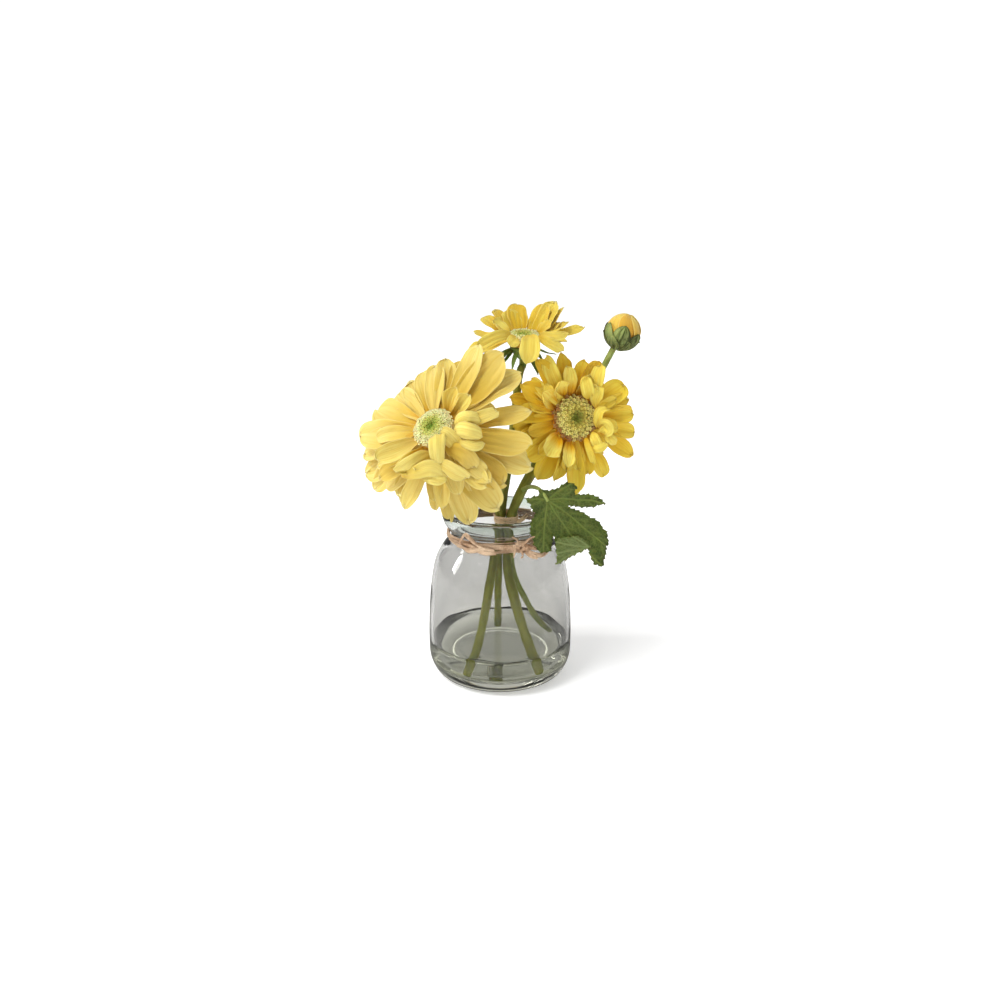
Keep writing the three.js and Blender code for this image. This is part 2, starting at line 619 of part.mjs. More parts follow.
const stems = {};
const holes = {};
for (const [name, head] of Object.entries(heads)) {
  const path = stemPath(name, head.frame, head.depth);
  const { radius } = STEMS[name];
  stems[name] = union([solid(tube(path, radius, 7, 17)), head.parts.transform(head.frame.toArray())]);
  holes[name] = solid(tube(path, radius + GAP, 7, 17));
}
stems.right = stems.right.add(leaf());
stems.top = stems.top.add(solid(tube(STUB.path, STUB.radius, 5, 6)));

const glass = jar();
addMesh('jar', glass, COLOURS.glass, 0.05);
addMesh('water', water(Object.values(holes)), COLOURS.water, 0.02);
for (const name of Object.keys(stems)) {
  addMesh(`${name}_stem`, stems[name], name === 'bud' ? COLOURS.stemPale : COLOURS.stem);
}
for (const [name, bloom] of Object.entries(BLOOMS)) {
  const matrix = frames[name].toArray();
  const golden = name === 'right';
  addMesh(`${name}_petals`, bloomPetals(bloom).transform(matrix), golden ? COLOURS.gold : COLOURS.cream);
  addMesh(`${name}_disc`, bloomDisc(bloom).transform(matrix), golden ? COLOURS.discGold : COLOURS.discPale);
}
addMesh('bud_petals', budPetals().transform(budFrame.toArray()), COLOURS.bud);
addMesh('raffia_tie', raffiaTie(Object.values(holes)), COLOURS.raffia, 0.8);
addMesh('raffia_band', raffiaBand(), COLOURS.raffia, 0.8);

export default group;
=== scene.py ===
"""Three daisies, a bud and a lobed leaf, tied with raffia and standing in a glass jar of water.

Each sub-assembly is a class that holds its sizes in millimetres and builds its own meshes round
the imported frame. Each finish is a frozen dataclass that builds one procedural material.
"""

from __future__ import annotations

import logging
import math
from dataclasses import dataclass, field, replace
from enum import Enum
from typing import Any, Iterable, NamedTuple, Sequence

import bpy
import numpy as np
from bpy.types import Material, Mesh, Node, NodeSocket, NodeTree, Object
from mathutils import Matrix, Vector
from mathutils.geometry import delaunay_2d_cdt

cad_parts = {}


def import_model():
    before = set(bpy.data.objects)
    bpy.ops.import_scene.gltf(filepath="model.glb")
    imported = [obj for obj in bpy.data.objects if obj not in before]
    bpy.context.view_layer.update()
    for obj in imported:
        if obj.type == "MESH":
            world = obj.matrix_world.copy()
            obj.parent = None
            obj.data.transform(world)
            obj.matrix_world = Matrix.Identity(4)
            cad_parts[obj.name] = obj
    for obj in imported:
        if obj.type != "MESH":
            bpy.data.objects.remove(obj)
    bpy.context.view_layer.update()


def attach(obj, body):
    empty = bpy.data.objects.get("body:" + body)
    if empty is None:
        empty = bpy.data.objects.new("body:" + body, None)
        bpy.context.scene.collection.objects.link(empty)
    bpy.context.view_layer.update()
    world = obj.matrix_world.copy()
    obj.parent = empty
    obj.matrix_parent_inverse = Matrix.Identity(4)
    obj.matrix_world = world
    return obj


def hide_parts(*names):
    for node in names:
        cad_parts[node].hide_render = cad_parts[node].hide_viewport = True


LOG = logging.getLogger("daisies")
MM = 0.001
BODY = "root"
GOLDEN_TURN = math.radians(137.508)
STRAP_SHARE = 0.17  # a petal narrower than this share of its length twists like a strap
TIE_SEED, BAND_SEED = 3, 9

Colour = tuple[float, float, float, float]
Spot = tuple[float, float, float]
Row = tuple[float, ...]
Path = Sequence[Sequence[float]]
Inputs = dict[str | int, Any]


class Sweep(Enum):
    """How the section of a swept strand is kept from turning."""

    ROUND = "MINIMUM_TWIST"
    FLAT = "Z_UP"


class Plan(NamedTuple):
    """A blade's half-width from root to tip, in shares of its widest and of its length.

    root is the half-width at the root, full where it is widest and narrows where the tip starts.
    A higher power keeps the tip broad for longer, a lower blunt rounds its end, and least is the
    half-width that is always left.
    """

    root: float
    full: float
    narrows: float
    power: float
    blunt: float
    least: float


class Outline(Enum):
    """The plan shape of a blade."""

    PETAL = Plan(0.28, 0.64, 0.66, 2.8, 0.5, 0.02)
    BRACT = Plan(0.5, 0.35, 0.3, 1.5, 0.8, 0.03)
    SEPAL = Plan(0.34, 0.55, 0.55, 2.0, 0.62, 0.03)


def shown(red: float, green: float, blue: float) -> Colour:
    """A display colour, 0 to 255 a channel, as linear light with full alpha."""
    parts = (red / 255, green / 255, blue / 255)
    line = [c / 12.92 if c <= 0.0404 else ((c + 0.055) / 1.055) ** 2.4 for c in parts]
    return (line[0], line[1], line[2], 1.0)


# --- curves


def hermite(
    u: float | np.ndarray, start: np.ndarray, leaving: np.ndarray, end: np.ndarray, arriving: np.ndarray
) -> np.ndarray:
    """A point at a share u of a cubic between two ends, from its slopes there."""
    return (
        (2 * u**3 - 3 * u**2 + 1) * start + (u**3 - 2 * u**2 + u) * leaving
        + (3 * u**2 - 2 * u**3) * end + (u**3 - u**2) * arriving
    )


def smooth_profile(points: Path, steps: int) -> np.ndarray:
    """Points on a uniform Catmull-Rom curve through [radius, height] points.

    Args:
        points: the points that the curve passes through.
        steps: how many equal steps of the parameter to take.

    Returns:
        An array of steps + 1 points.
    """
    knots = np.array(points, float)
    last = len(knots) - 1
    out = []
    for t in np.linspace(0, last, steps + 1):
        i = min(int(t), last - 1)
        a, b, c, d = knots[max(i - 1, 0)], knots[i], knots[i + 1], knots[min(i + 2, last)]
        out.append(hermite(t - i, b, (c - a) / 2, c, (d - b) / 2))
    return np.array(out)


def smooth_path(points: Path, steps: int) -> np.ndarray:
    """Evenly spaced points on a centripetal Catmull-Rom curve.

    Args:
        points: the points that the curve passes through.
        steps: how many equal lengths to cut the curve into.

    Returns:
        An array of steps + 1 points.
    """
    knots = np.array(points, float)
    knots = np.vstack([2 * knots[0] - knots[1], knots, 2 * knots[-1] - knots[-2]])
    u = np.linspace(0, 1, 24, endpoint=False)[:, None]
    fine = []
    for i in range(1, len(knots) - 2):
        a, b, c, d = knots[i - 1 : i + 3]
        gaps = (b - a, c - b, d - c)
        before, here, after = (max(float(np.linalg.norm(gap)), 1e-6) ** 0.5 for gap in gaps)
        leaving = ((b - a) / before - (c - a) / (before + here) + (c - b) / here) * here
        arriving = ((c - b) / here - (d - b) / (here + after) + (d - c) / after) * here
        fine.append(hermite(u, b, leaving, c, arriving))
    line = np.vstack([*fine, knots[-2]])
    run = np.concatenate([[0], np.cumsum(np.linalg.norm(np.diff(line, axis=0), axis=1))])
    at = np.linspace(0, run[-1], steps + 1)
    return np.column_stack([np.interp(at, run, line[:, k]) for k in range(3)])


def bloom_frame(centre: Spot, facing: Spot) -> Matrix:
    """The matrix, in millimetres, of a head's own frame: X right, Y up its face, Z out of it."""
    normal = Vector(facing).normalized()
    right = Vector((0, 0, 1)).cross(normal).normalized()
    turn = Matrix((right, normal.cross(right), normal)).transposed().to_4x4()
    return Matrix.Translation(Vector(centre)) @ turn


def ball_points(reach: Any, polar: np.ndarray, azimuth: np.ndarray) -> np.ndarray:
    """Points at distances and angles round the middle of a ball."""
    across = reach * np.sin(polar)
    return np.stack([across * np.cos(azimuth), across * np.sin(azimuth), reach * np.cos(polar)], 2)


# --- meshes


@dataclass
class Shells:
    """Closed shells gathered into one mesh, with named values at each point."""

    points: list[np.ndarray] = field(default_factory=list)
    faces: list[tuple[int, ...]] = field(default_factory=list)
    values: dict[str, list[np.ndarray]] = field(default_factory=dict)
    count: int = 0

    def add(self, points: np.ndarray, faces: Iterable[Sequence[int]], **values: np.ndarray | float) -> None:
        """Adds a shell.

        Args:
            points: its points in millimetres.
            faces: its faces, counted from its own first point.
            values: a value at each of its points, or one for them all.
        """
        self.faces += [tuple(int(i) + self.count for i in face) for face in faces]
        self.points.append(points)
        for name, value in values.items():
            self.values.setdefault(name, []).append(np.broadcast_to(np.asarray(value, float), (len(points),)))
        self.count += len(points)

    def sheet(
        self, middle: np.ndarray, thickness: np.ndarray, along: np.ndarray, across: np.ndarray,
        inside_out: bool = False, **values: float,
    ) -> None:
        """Adds a closed sheet.

        Args:
            middle: its middle points, by row and column.
            thickness: how thick it is at each of them, by row, by column or both.
            along: how far along it each of them lies, from 0 to 1.
            across: how far across it each of them lies, from -1 to 1.
            inside_out: whether its rows and columns run the other way round.
            values: further values for all its points.
        """
        size = middle.shape[:2]
        points = thicken(middle, np.broadcast_to(thickness, size))
        faces = sheet_faces(*size)
        if inside_out:
            faces = [face[::-1] for face in faces]
        rows, columns = (np.tile(np.broadcast_to(value, size).ravel(), 2) for value in (along, across))
        self.add(points, faces, along=rows, across=columns, **values)

    def turn(self, profile: Path, segments: int, **values: float) -> None:
        """Adds a body turned round Z from a profile that starts and ends on the axis.

        Args:
            profile: [radius, height] points, anticlockwise as seen with the axis on the left.
            segments: points round the axis.
            values: values for all its points, which may take the place of its plain ones.
        """
        ring = np.array(profile, float)
        ends = [[0, 0, ring[0, 1]], [0, 0, ring[-1, 1]]]
        ring = ring[1:-1]
        angle = np.linspace(0, 2 * np.pi, segments, endpoint=False)
        places = np.stack(
            [np.outer(ring[:, 0], np.cos(angle)), np.outer(ring[:, 0], np.sin(angle)),
             np.repeat(ring[:, 1][:, None], segments, 1)], 2,
        ).reshape(-1, 3)
        grid = np.arange(len(ring) * segments).reshape(len(ring), segments)
        after = np.roll(grid, -1, 1)
        quads = np.stack([grid[:-1], after[:-1], after[1:], grid[1:]], 2).reshape(-1, 4).tolist()
        low, high = len(places), len(places) + 1
        fans = [(low, int(after[0, k]), int(grid[0, k])) for k in range(segments)]
        fans += [(high, int(grid[-1, k]), int(after[-1, k])) for k in range(segments)]
        around = np.concatenate([np.tile(np.cos(angle), len(ring)), [0, 0]])
        plain = {"along": 0.5, "across": around * 0.5, "tone": 0.5}
        self.add(np.vstack([places, ends]), quads + fans, **{**plain, **values})

    def mesh(self, name: str, matrix: Matrix | None = None) -> Mesh:
        """One mesh in metres, moved by a matrix in millimetres."""
        places = np.vstack(self.points)
        if matrix is not None:
            turn = np.array(matrix)
            places = places @ turn[:3, :3].T + turn[:3, 3]
        mesh = bpy.data.meshes.new(name)
        mesh.from_pydata((places * MM).tolist(), [], self.faces)
        for label, value in self.values.items():
            mesh.attributes.new(label, "FLOAT", "POINT").data.foreach_set("value", np.concatenate(value))
        mesh.shade_smooth()
        return mesh


def sheet_faces(rows: int, columns: int) -> list[list[int]]:
    """The faces of a closed sheet: its front, its back and the rim between them.

    Args:
        rows: points along the sheet.
        columns: points across it.

    Returns:
        Faces that count the front's points first, row by row, then the back's.
    """
    grid = np.arange(rows * columns).reshape(rows, columns)
    under = rows * columns
    a, b, c, d = (part.ravel() for part in (grid[:-1, :-1], grid[:-1, 1:], grid[1:, 1:], grid[1:, :-1]))
    front = np.stack([a, d, c, b], 1)
    back = np.stack([a, b, c, d], 1) + under
    rim = np.concatenate([grid[0, :-1], grid[:-1, -1], grid[-1, :0:-1], grid[:0:-1, 0]])
    after = np.roll(rim, -1)
    edge = np.stack([rim, after, under + after, under + rim], 1)
    return np.vstack([front, back, edge]).tolist()


def thicken(middle: np.ndarray, thickness: np.ndarray) -> np.ndarray:
    """Points of a closed sheet on both sides of a grid of middle points."""
    normal = np.cross(np.gradient(middle, axis=0), np.gradient(middle, axis=1))
    normal /= np.maximum(np.linalg.norm(normal, axis=2, keepdims=True), 1e-9)
    offset = normal * thickness[..., None] / 2
    return np.vstack([(middle + offset).reshape(-1, 3), (middle - offset).reshape(-1, 3)])


def half_width(t: np.ndarray, outline: Outline) -> np.ndarray:
    """A blade's half-width as a share of its widest, t from root to tip."""
    plan = outline.value
    swell = plan.root + (1 - plan.root) * np.sin(np.pi / 2 * np.minimum(1, t / plan.full))
    into_tip = np.clip((t - plan.narrows) / (1 - plan.narrows), 0, 1)
    return np.maximum(plan.least, swell * (1 - into_tip**plan.power) ** plan.blunt)


@dataclass(frozen=True)
class BladeStyle:
    """How blades of one kind are finished, in shares of their half-width unless said.

    flick, wave and notch are shares of the length, thickness and edge are millimetres, and rows
    and columns count the points along and across.
    """

    outline: Outline = Outline.PETAL
    rows: int = 28
    columns: int = 17
    cup: float = 0.14
    channel: float = 0.22
    crease: float = 0.11
    ripple: float = 0.13
    twist: float = 0.22
    flick: float = 0.12
    wave: float = 0.03
    notch: float = 0.05
    thickness: float = 0.42
    edge: float = 0.14


def blade(
    shells: Shells, root: tuple[float, float], row: Row, style: BladeStyle, draw: np.random.Generator,
    **values: float,
) -> None:
    """Adds a petal, bract or sepal to the shells, in its head's frame.

    Args:
        shells: where it goes.
        root: radius and height of its start.
        row: azimuth, length, width, lift and curl, in degrees and millimetres, and how far its
            tip lies to one side where it does.
        style: how blades of its kind are finished.
        draw: the stream that sets its small differences.
        values: further values for all its points.
    """
    azimuth, length, width, lift, curl, *side = row
    turn, start, grow = math.radians(azimuth), math.radians(lift), math.radians(curl or 1e-3)
    radial = np.array([math.cos(turn), math.sin(turn), 0])
    sideways = np.array([-math.sin(turn), math.cos(turn), 0])
    axis = np.array([0, 0, 1.0])
    t = (1 - (1 - np.linspace(0, 1, style.rows)) ** 1.7)[:, None]
    even = np.linspace(-1, 1, style.columns)[None, :]
    s = 0.6 * np.sin(even * np.pi / 2) + 0.4 * even
    folds = int(draw.integers(2, 5))
    phase = draw.uniform(0, 2 * np.pi, 6)
    twist, flick, wander, slant = draw.uniform(-1, 1, 4) * (style.twist, style.flick, 0.04, 0.03)
    channel = draw.uniform(0.1, 1) * style.channel
    notch = style.notch * draw.choice([1.2, 0.7, 0.0, 0.0])
    point = style.notch * draw.choice([0.7, 0.4, 0.0, 0.0])
    dent = notch * np.exp(-(((s - 0.2 * np.sin(phase[5])) / 0.4) ** 2))
    teeth = 0.018 * np.cos(3 * np.pi * s + phase[5]) * draw.choice([0.0, 1.0, 1.6])
    reach = t + (slant * s + point * (1 - np.abs(s) ** 1.5) - dent + teeth) * t**6
    angle = start + grow * reach
    out = length / grow * (np.sin(angle) - math.sin(start))
    rise = length / grow * (math.cos(start) - np.cos(angle))
    half = width / 2 * half_width(t, style.outline)
    uneven = 1 + 0.06 * np.sin(5 * t + phase[0] + 1.2 * s) + 0.02 * np.sin(17 * t + phase[1] + 2 * np.sign(s))
    folded = np.cos(np.pi * folds * s + phase[2]) * np.sin(np.pi * t) ** 0.6
    folded = folded * (0.6 + 0.4 * np.sin(4 * t + phase[3]))
    ruffle = np.abs(s) ** 3 * t * (np.sin(8.5 * t + phase[4] + 2.2 * s) + 0.5 * np.sin(19 * t + phase[1] - s))
    stand = (
        half * (style.cup * s**2 + channel * (np.sqrt(s**2 + 0.01) - 0.4))
        + half * (style.ripple * ruffle - style.crease * folded + twist * s * t)
        + flick * length * np.clip(t - 0.6, 0, 1) ** 2 / 0.4
        + style.wave * length * np.sin(5.5 * t + phase[3]) * t * (1 - 0.4 * s * np.sin(phase[0]))
    )
    drift = s * half * uneven + sum(side) * t**2 + wander * length * np.sin(np.pi * t)
    normal = np.cos(angle)[..., None] * axis - np.sin(angle)[..., None] * radial
    middle = (
        (root[0] + out)[..., None] * radial + (root[1] + rise)[..., None] * axis
        + drift[..., None] * sideways + stand[..., None] * normal
    )
    thin = style.edge + (style.thickness - style.edge) * (1 - s**4) * (1 - t**6)
    shells.sheet(middle, thin, t, s, tone=draw.uniform(0, 1), **values)


@dataclass(frozen=True)
class Fold:
    """A petal that bends over itself, in its head's frame.

    widths are in millimetres, and rolls in degrees where it rolls at all, at even steps of its
    path. layer and tone choose its colour, and tip_share is how much of its length the round tip
    takes.
    """

    path: Path
    widths: Sequence[float]
    cup: float
    layer: float
    tone: float
    tip_share: float
    rolls: Sequence[float] = ()
    rows: int = 36
    columns: int = 15

    def add(self, shells: Shells, towards: Vector, draw: np.random.Generator) -> None:
        """Adds the petal to the shells.

        Args:
            shells: where it goes.
            towards: the way its root faces.
            draw: the stream that sets its small differences.
        """
        line = smooth_path(self.path, self.rows - 1)
        rolls = self.rolls or [0] * len(self.widths)
        width, roll = smooth_profile(list(zip(self.widths, rolls)), self.rows - 1).T
        t = np.linspace(0, 1, self.rows)[:, None]
        s = np.linspace(-1, 1, self.columns)[None, :]
        ahead = np.gradient(line, axis=0)
        ahead /= np.linalg.norm(ahead, axis=1, keepdims=True)
        sideways = np.empty_like(line)
        side = np.cross(ahead[0], np.array(towards))
        for i, step in enumerate(ahead):
            side = side - step * (step @ side)
            side /= np.linalg.norm(side)
            sideways[i] = side
        over = np.cross(sideways, ahead)
        roll = np.radians(roll)[:, None]
        lateral = sideways * np.cos(roll) + over * np.sin(roll)
        upward = over * np.cos(roll) - sideways * np.sin(roll)
        near_tip = np.clip((t - 1 + self.tip_share) / self.tip_share, 0, 1)
        tip = np.sqrt(np.clip(1 - near_tip**2.6, 0, 1)) * (0.55 + 0.45 * np.minimum(1, t / 0.15))
        half = np.maximum(0.12, width[:, None] / 2 * tip)
        phase = draw.uniform(0, 2 * np.pi, 4)
        stand = half * (
            self.cup * (s**2 - 0.3) + 0.06 * np.cos(2.3 * np.pi * s + phase[0]) * np.sin(np.pi * t)
            + 0.14 * np.abs(s) ** 3 * np.sin(9 * t + phase[1] + 2 * s)
        )
        slant = (0.9 * np.sin(phase[2]) * s + 0.5 * (1 - np.abs(s) ** 1.5)) * t**6
        moves = ((lateral, s * half), (upward, stand), (ahead, slant))
        middle = line[:, None, :] + sum(way[:, None, :] * amount[..., None] for way, amount in moves)
        thin = 0.14 + 0.22 * (1 - s**4) * (1 - t**6)
        shells.sheet(middle, thin, 0.25 + 0.75 * t, s, tone=self.tone, layer=self.layer)


# --- node trees


class Tree:
    """Adds nodes to one node tree and wires them as they are added."""

    def __init__(self, tree: NodeTree) -> None:
        """Takes the tree to fill."""
        self.tree = tree

    def put(self, socket: NodeSocket, value: Any) -> None:
        """Links an output to a socket, or sets the socket's own value."""
        if isinstance(value, NodeSocket):
            self.tree.links.new(value, socket)
        else:
            socket.default_value = value

    def node(self, kind: str, inputs: Inputs | None = None, **settings: Any) -> Node:
        """Adds a node.

        Args:
            kind: the node's type name.
            inputs: values or outputs for its inputs, by name or place.
            settings: the node's own properties.

        Returns:
            The node.
        """
        made = self.tree.nodes.new(kind)
        for name, value in settings.items():
            setattr(made, name, value)
        for key, value in (inputs or {}).items():
            if isinstance(key, int):
                self.put(made.inputs[key], value)
            else:
                self.put(next(s for s in made.inputs if s.name == key and s.enabled), value)
        return made

    def out(self, kind: str, inputs: Inputs | None = None, output: str = "", **settings: Any) -> Any:
        """Adds a node and gives back one of its outputs, the first unless another is named."""
        made = self.node(kind, inputs, **settings)
        return next(s for s in made.outputs if s.enabled and output in ("", s.name))

    def math(self, operation: str, a: Any, b: Any = 0.0) -> Any:
        """A sum, product or other step on two values."""
        return self.out("ShaderNodeMath", {0: a, 1: b}, operation=operation)

    def times(self, a: Any, b: Any) -> Any:
        """The product of two values."""
        return self.math("MULTIPLY", a, b)

    def plus(self, a: Any, b: Any) -> Any:
        """The sum of two values."""
        return self.math("ADD", a, b)

    def minus(self, a: Any, b: Any) -> Any:
        """The first value less the second."""
        return self.math("SUBTRACT", a, b)

    def power(self, a: Any, b: float) -> Any:
        """The first value raised to the second."""
        return self.math("POWER", a, b)

    def sway(self, value: Any, amount: Any) -> Any:
        """A value from 0 to 1 as an equal push up or down."""
        return self.times(self.minus(value, 0.5), amount)

    def remap(self, value: Any, low: Any, high: Any, to_low: float = 0.0, to_high: float = 1.0) -> Any:
        """A value carried smoothly from one range to another, and held at its ends."""
        inputs = {"Value": value, "From Min": low, "From Max": high, "To Min": to_low, "To Max": to_high}
        return self.out("ShaderNodeMapRange", inputs, interpolation_type="SMOOTHSTEP")

    def mix(self, factor: Any, a: Any, b: Any, share: float = 1.0) -> Any:
        """A mix of two colours, by a share of the factor."""
        made = self.tree.nodes.new("ShaderNodeMix")
        made.data_type = "RGBA"
        weight = factor if share == 1.0 else self.times(factor, share)
        for place, value in ((0, weight), (6, a), (7, b)):
            self.put(made.inputs[place], value)
        return made.outputs[2]

    def ramp(self, factor: Any, stops: Sequence[tuple[float, Colour]]) -> Any:
        """A colour read from stops along a value from 0 to 1."""
        made = self.node("ShaderNodeValToRGB", {0: factor})
        places = made.color_ramp.elements
        while len(places) < len(stops):
            places.new(0.5)
        for place, (at, colour) in zip(places, stops):
            place.position = at
            place.color = colour
        return made.outputs[0]

    def value(self, name: str) -> Any:
        """A named value carried by the mesh's points, in a material."""
        return self.out("ShaderNodeAttribute", output="Fac", attribute_name=name)

    def spot(self) -> Any:
        """The place in the object's own space, in metres."""
        return self.out("ShaderNodeTexCoord", output="Object")

    def join(self, x: Any, y: Any, z: Any) -> Any:
        """Three numbers as a vector."""
        return self.out("ShaderNodeCombineXYZ", {0: x, 1: y, 2: z})

    def noise(self, vector: Any, scale: Any, detail: float = 2.0) -> Any:
        """Soft noise from 0 to 1 at a place."""
        return self.out("ShaderNodeTexNoise", {"Vector": vector, "Scale": scale, "Detail": detail})

    def scaled(self, vector: Any, size: Any) -> Any:
        """A vector made longer or shorter."""
        return self.out("ShaderNodeVectorMath", {0: vector, "Scale": size}, operation="SCALE")

    def keep(self, shape: Any, name: str, value: Any) -> Any:
        """A shape that carries a named value."""
        return self.out("GeometryNodeStoreNamedAttribute", {"Geometry": shape, "Name": name, "Value": value})

    def kept(self, name: str) -> Any:
        """A named value that a shape carries."""
        return self.out("GeometryNodeInputNamedAttribute", {"Name": name}, data_type="FLOAT")

    def facing(self, way: Any, seed: Any, stray: Any) -> Any:
        """The turn that stands an instance along a way, give or take a stray push."""
        ends = {"Min": (-1, -1, -1), "Max": (1, 1, 1), "Seed": seed}
        push = self.scaled(self.out("FunctionNodeRandomValue", ends, data_type="FLOAT_VECTOR"), stray)
        along = self.out("ShaderNodeVectorMath", {0: way, 1: push}, operation="ADD")
        return self.out("FunctionNodeAlignRotationToVector", {"Vector": along}, axis="Z")


def declare(tree: NodeTree, into: dict[str, int | float | str], out: dict[str, str]) -> Tree:
    """Declares a group's inputs and outputs.

    Args:
        tree: the group.
        into: each input's default, or its kind where it has none.
        out: each output's kind.

    Returns:
        The group, ready to be filled.
    """
    kinds = {int: "Int", float: "Float"}
    for name, given in into.items():
        kind = kinds.get(type(given), given)
        made = tree.interface.new_socket(name, in_out="INPUT", socket_type=f"NodeSocket{kind}")
        if given != kind:
            made.default_value = given
    for name, kind in out.items():
        tree.interface.new_socket(name, in_out="OUTPUT", socket_type=f"NodeSocket{kind}")
    return Tree(tree)


class Grower:
    """Geometry Nodes trees for what repeats or follows a path."""

    def __init__(self) -> None:
        """Builds the trees once."""
        self.sweep = {mode: self._sweep(mode) for mode in Sweep}
        self.spiral = self._spiral()
        self.fuzz = self._fuzz()

    @staticmethod
    def _start(name: str, into: dict[str, int | float | str]) -> tuple[Tree, Any]:
        """A new tree and its inputs, which start with the shape and end with the finish."""
        tree = bpy.data.node_groups.new(name, "GeometryNodeTree")
        shape = {"Geometry": "Geometry"}
        build = declare(tree, {**shape, **into, "Finish": "Material"}, shape)
        return build, build.node("NodeGroupInput").outputs

    @staticmethod
    def _end(build: Tree, shape: Any, finish: Any) -> NodeTree:
        """Realizes, dresses and puts out what a tree has made."""
        real = build.out("GeometryNodeRealizeInstances", {0: shape})
        dressed = build.out("GeometryNodeSetMaterial", {"Geometry": real, "Material": finish})
        build.node("NodeGroupOutput", {0: dressed})
        return build.tree

    def _sweep(self, mode: Sweep) -> NodeTree:
        """A strand with an oval section along every path of the mesh it is given."""
        build, o = self._start(
            f"strand_{mode.name.lower()}",
            {"Steps": 60, "Sides": 16, "Width": 0.002, "Thickness": 0.002, "Crinkle": 0.0,
             "Crinkle Scale": 400.0},
        )
        line = build.out("GeometryNodeMeshToCurve", {0: o["Geometry"]})
        line = build.out("GeometryNodeResampleCurve", {"Curve": line, "Count": o["Steps"]})
        line = build.out("GeometryNodeSetCurveNormal", {"Curve": line}, mode=mode.value)
        line = build.out("GeometryNodeSetCurveTilt", {"Curve": line, "Tilt": build.kept("lean")})
        line = build.keep(line, "along", build.out("GeometryNodeSplineParameter", output="Length"))
        ring = build.out("GeometryNodeCurvePrimitiveCircle", {"Resolution": o["Sides"], "Radius": 0.5})
        size = build.join(o["Thickness"], o["Width"], 1.0)
        ring = build.out("GeometryNodeTransform", {"Geometry": ring, "Scale": size})
        ring = build.keep(ring, "across", build.out("GeometryNodeSplineParameter", output="Factor"))
        skin = build.out(
            "GeometryNodeCurveToMesh",
            {"Curve": line, "Profile Curve": ring, "Scale": build.kept("girth"), "Fill Caps": True},
        )
        noise = build.out("ShaderNodeTexNoise", {"Scale": o["Crinkle Scale"], "Detail": 2.0})
        push = build.scaled(build.out("GeometryNodeInputNormal"), build.sway(noise, o["Crinkle"]))
        skin = build.out("GeometryNodeSetPosition", {"Geometry": skin, "Offset": push})
        return self._end(build, skin, o["Finish"])

    def _spiral(self) -> NodeTree:
        """Florets on a spiral over a low dome with a sunken eye."""
        build, o = self._start(
            "floret_spiral",
            {"Floret": "Object", "Count": 170, "Turn": 2.4, "Edge": 0.01, "Rise": 0.0036, "Floor": 0.0003,
             "Inner Size": 0.5, "Outer Size": 1.0, "Splay": 0.8, "Jitter": 0.2, "Seed": 1},
        )
        times, plus, minus, power = build.times, build.plus, build.minus, build.power
        index = build.out("GeometryNodeInputIndex")
        share = build.math("SQRT", build.math("DIVIDE", plus(index, 0.5), o["Count"]))
        angle = times(index, o["Turn"])
        eye = plus(times(build.math("MINIMUM", build.math("DIVIDE", share, 0.35), 1.0), 0.45), 0.55)
        dome = times(times(minus(1.0, power(share, 3.0)), eye), o["Rise"])
        reach = times(times(share, 0.96), o["Edge"])
        east, north = build.math("COSINE", angle), build.math("SINE", angle)
        place = build.join(times(reach, east), times(reach, north), plus(dome, o["Floor"]))
        dots = build.out("GeometryNodePoints", {"Count": o["Count"], "Position": place})
        dots = build.keep(dots, "share", share)
        tone = build.out("FunctionNodeRandomValue", {"Seed": o["Seed"]}, data_type="FLOAT")
        dots = build.keep(dots, "tone", tone)
        lean = times(power(share, 2.0), o["Splay"])
        way = build.join(times(lean, east), times(lean, north), 1.0)
        size = plus(times(power(share, 1.5), minus(o["Outer Size"], o["Inner Size"])), o["Inner Size"])
        floret = build.out("GeometryNodeObjectInfo", {"Object": o["Floret"]}, "Geometry")
        placed = build.out(
            "GeometryNodeInstanceOnPoints",
            {"Points": dots, "Instance": floret, "Rotation": build.facing(way, o["Seed"], o["Jitter"]),
             "Scale": times(size, plus(times(tone, 0.3), 0.85))},
        )
        return self._end(build, placed, o["Finish"])

    def _fuzz(self) -> NodeTree:
        """Fine short hairs standing on a surface."""
        build, o = self._start(
            "fine_hairs",
            {"Density": 100000.0, "Length": 0.0007, "Width": 0.00005, "Lean": 0.5, "Seed": 1},
        )
        spots = build.node(
            "GeometryNodeDistributePointsOnFaces",
            {"Mesh": o["Geometry"], "Density": o["Density"], "Seed": o["Seed"]},
        ).outputs
        hair = build.out(
            "GeometryNodeMeshCone",
            {"Vertices": 3, "Side Segments": 1, "Radius Top": 0.0, "Radius Bottom": o["Width"],
             "Depth": o["Length"]},
            fill_type="TRIANGLE_FAN",
        )
        ends = {"Min": 0.5, "Max": 1.0, "Seed": o["Seed"]}
        size = build.out("FunctionNodeRandomValue", ends, data_type="FLOAT")
        placed = build.out(
            "GeometryNodeInstanceOnPoints",
            {"Points": spots["Points"], "Instance": hair, "Scale": size,
             "Rotation": build.facing(spots["Normal"], o["Seed"], o["Lean"])},
        )
        return self._end(build, placed, o["Finish"])

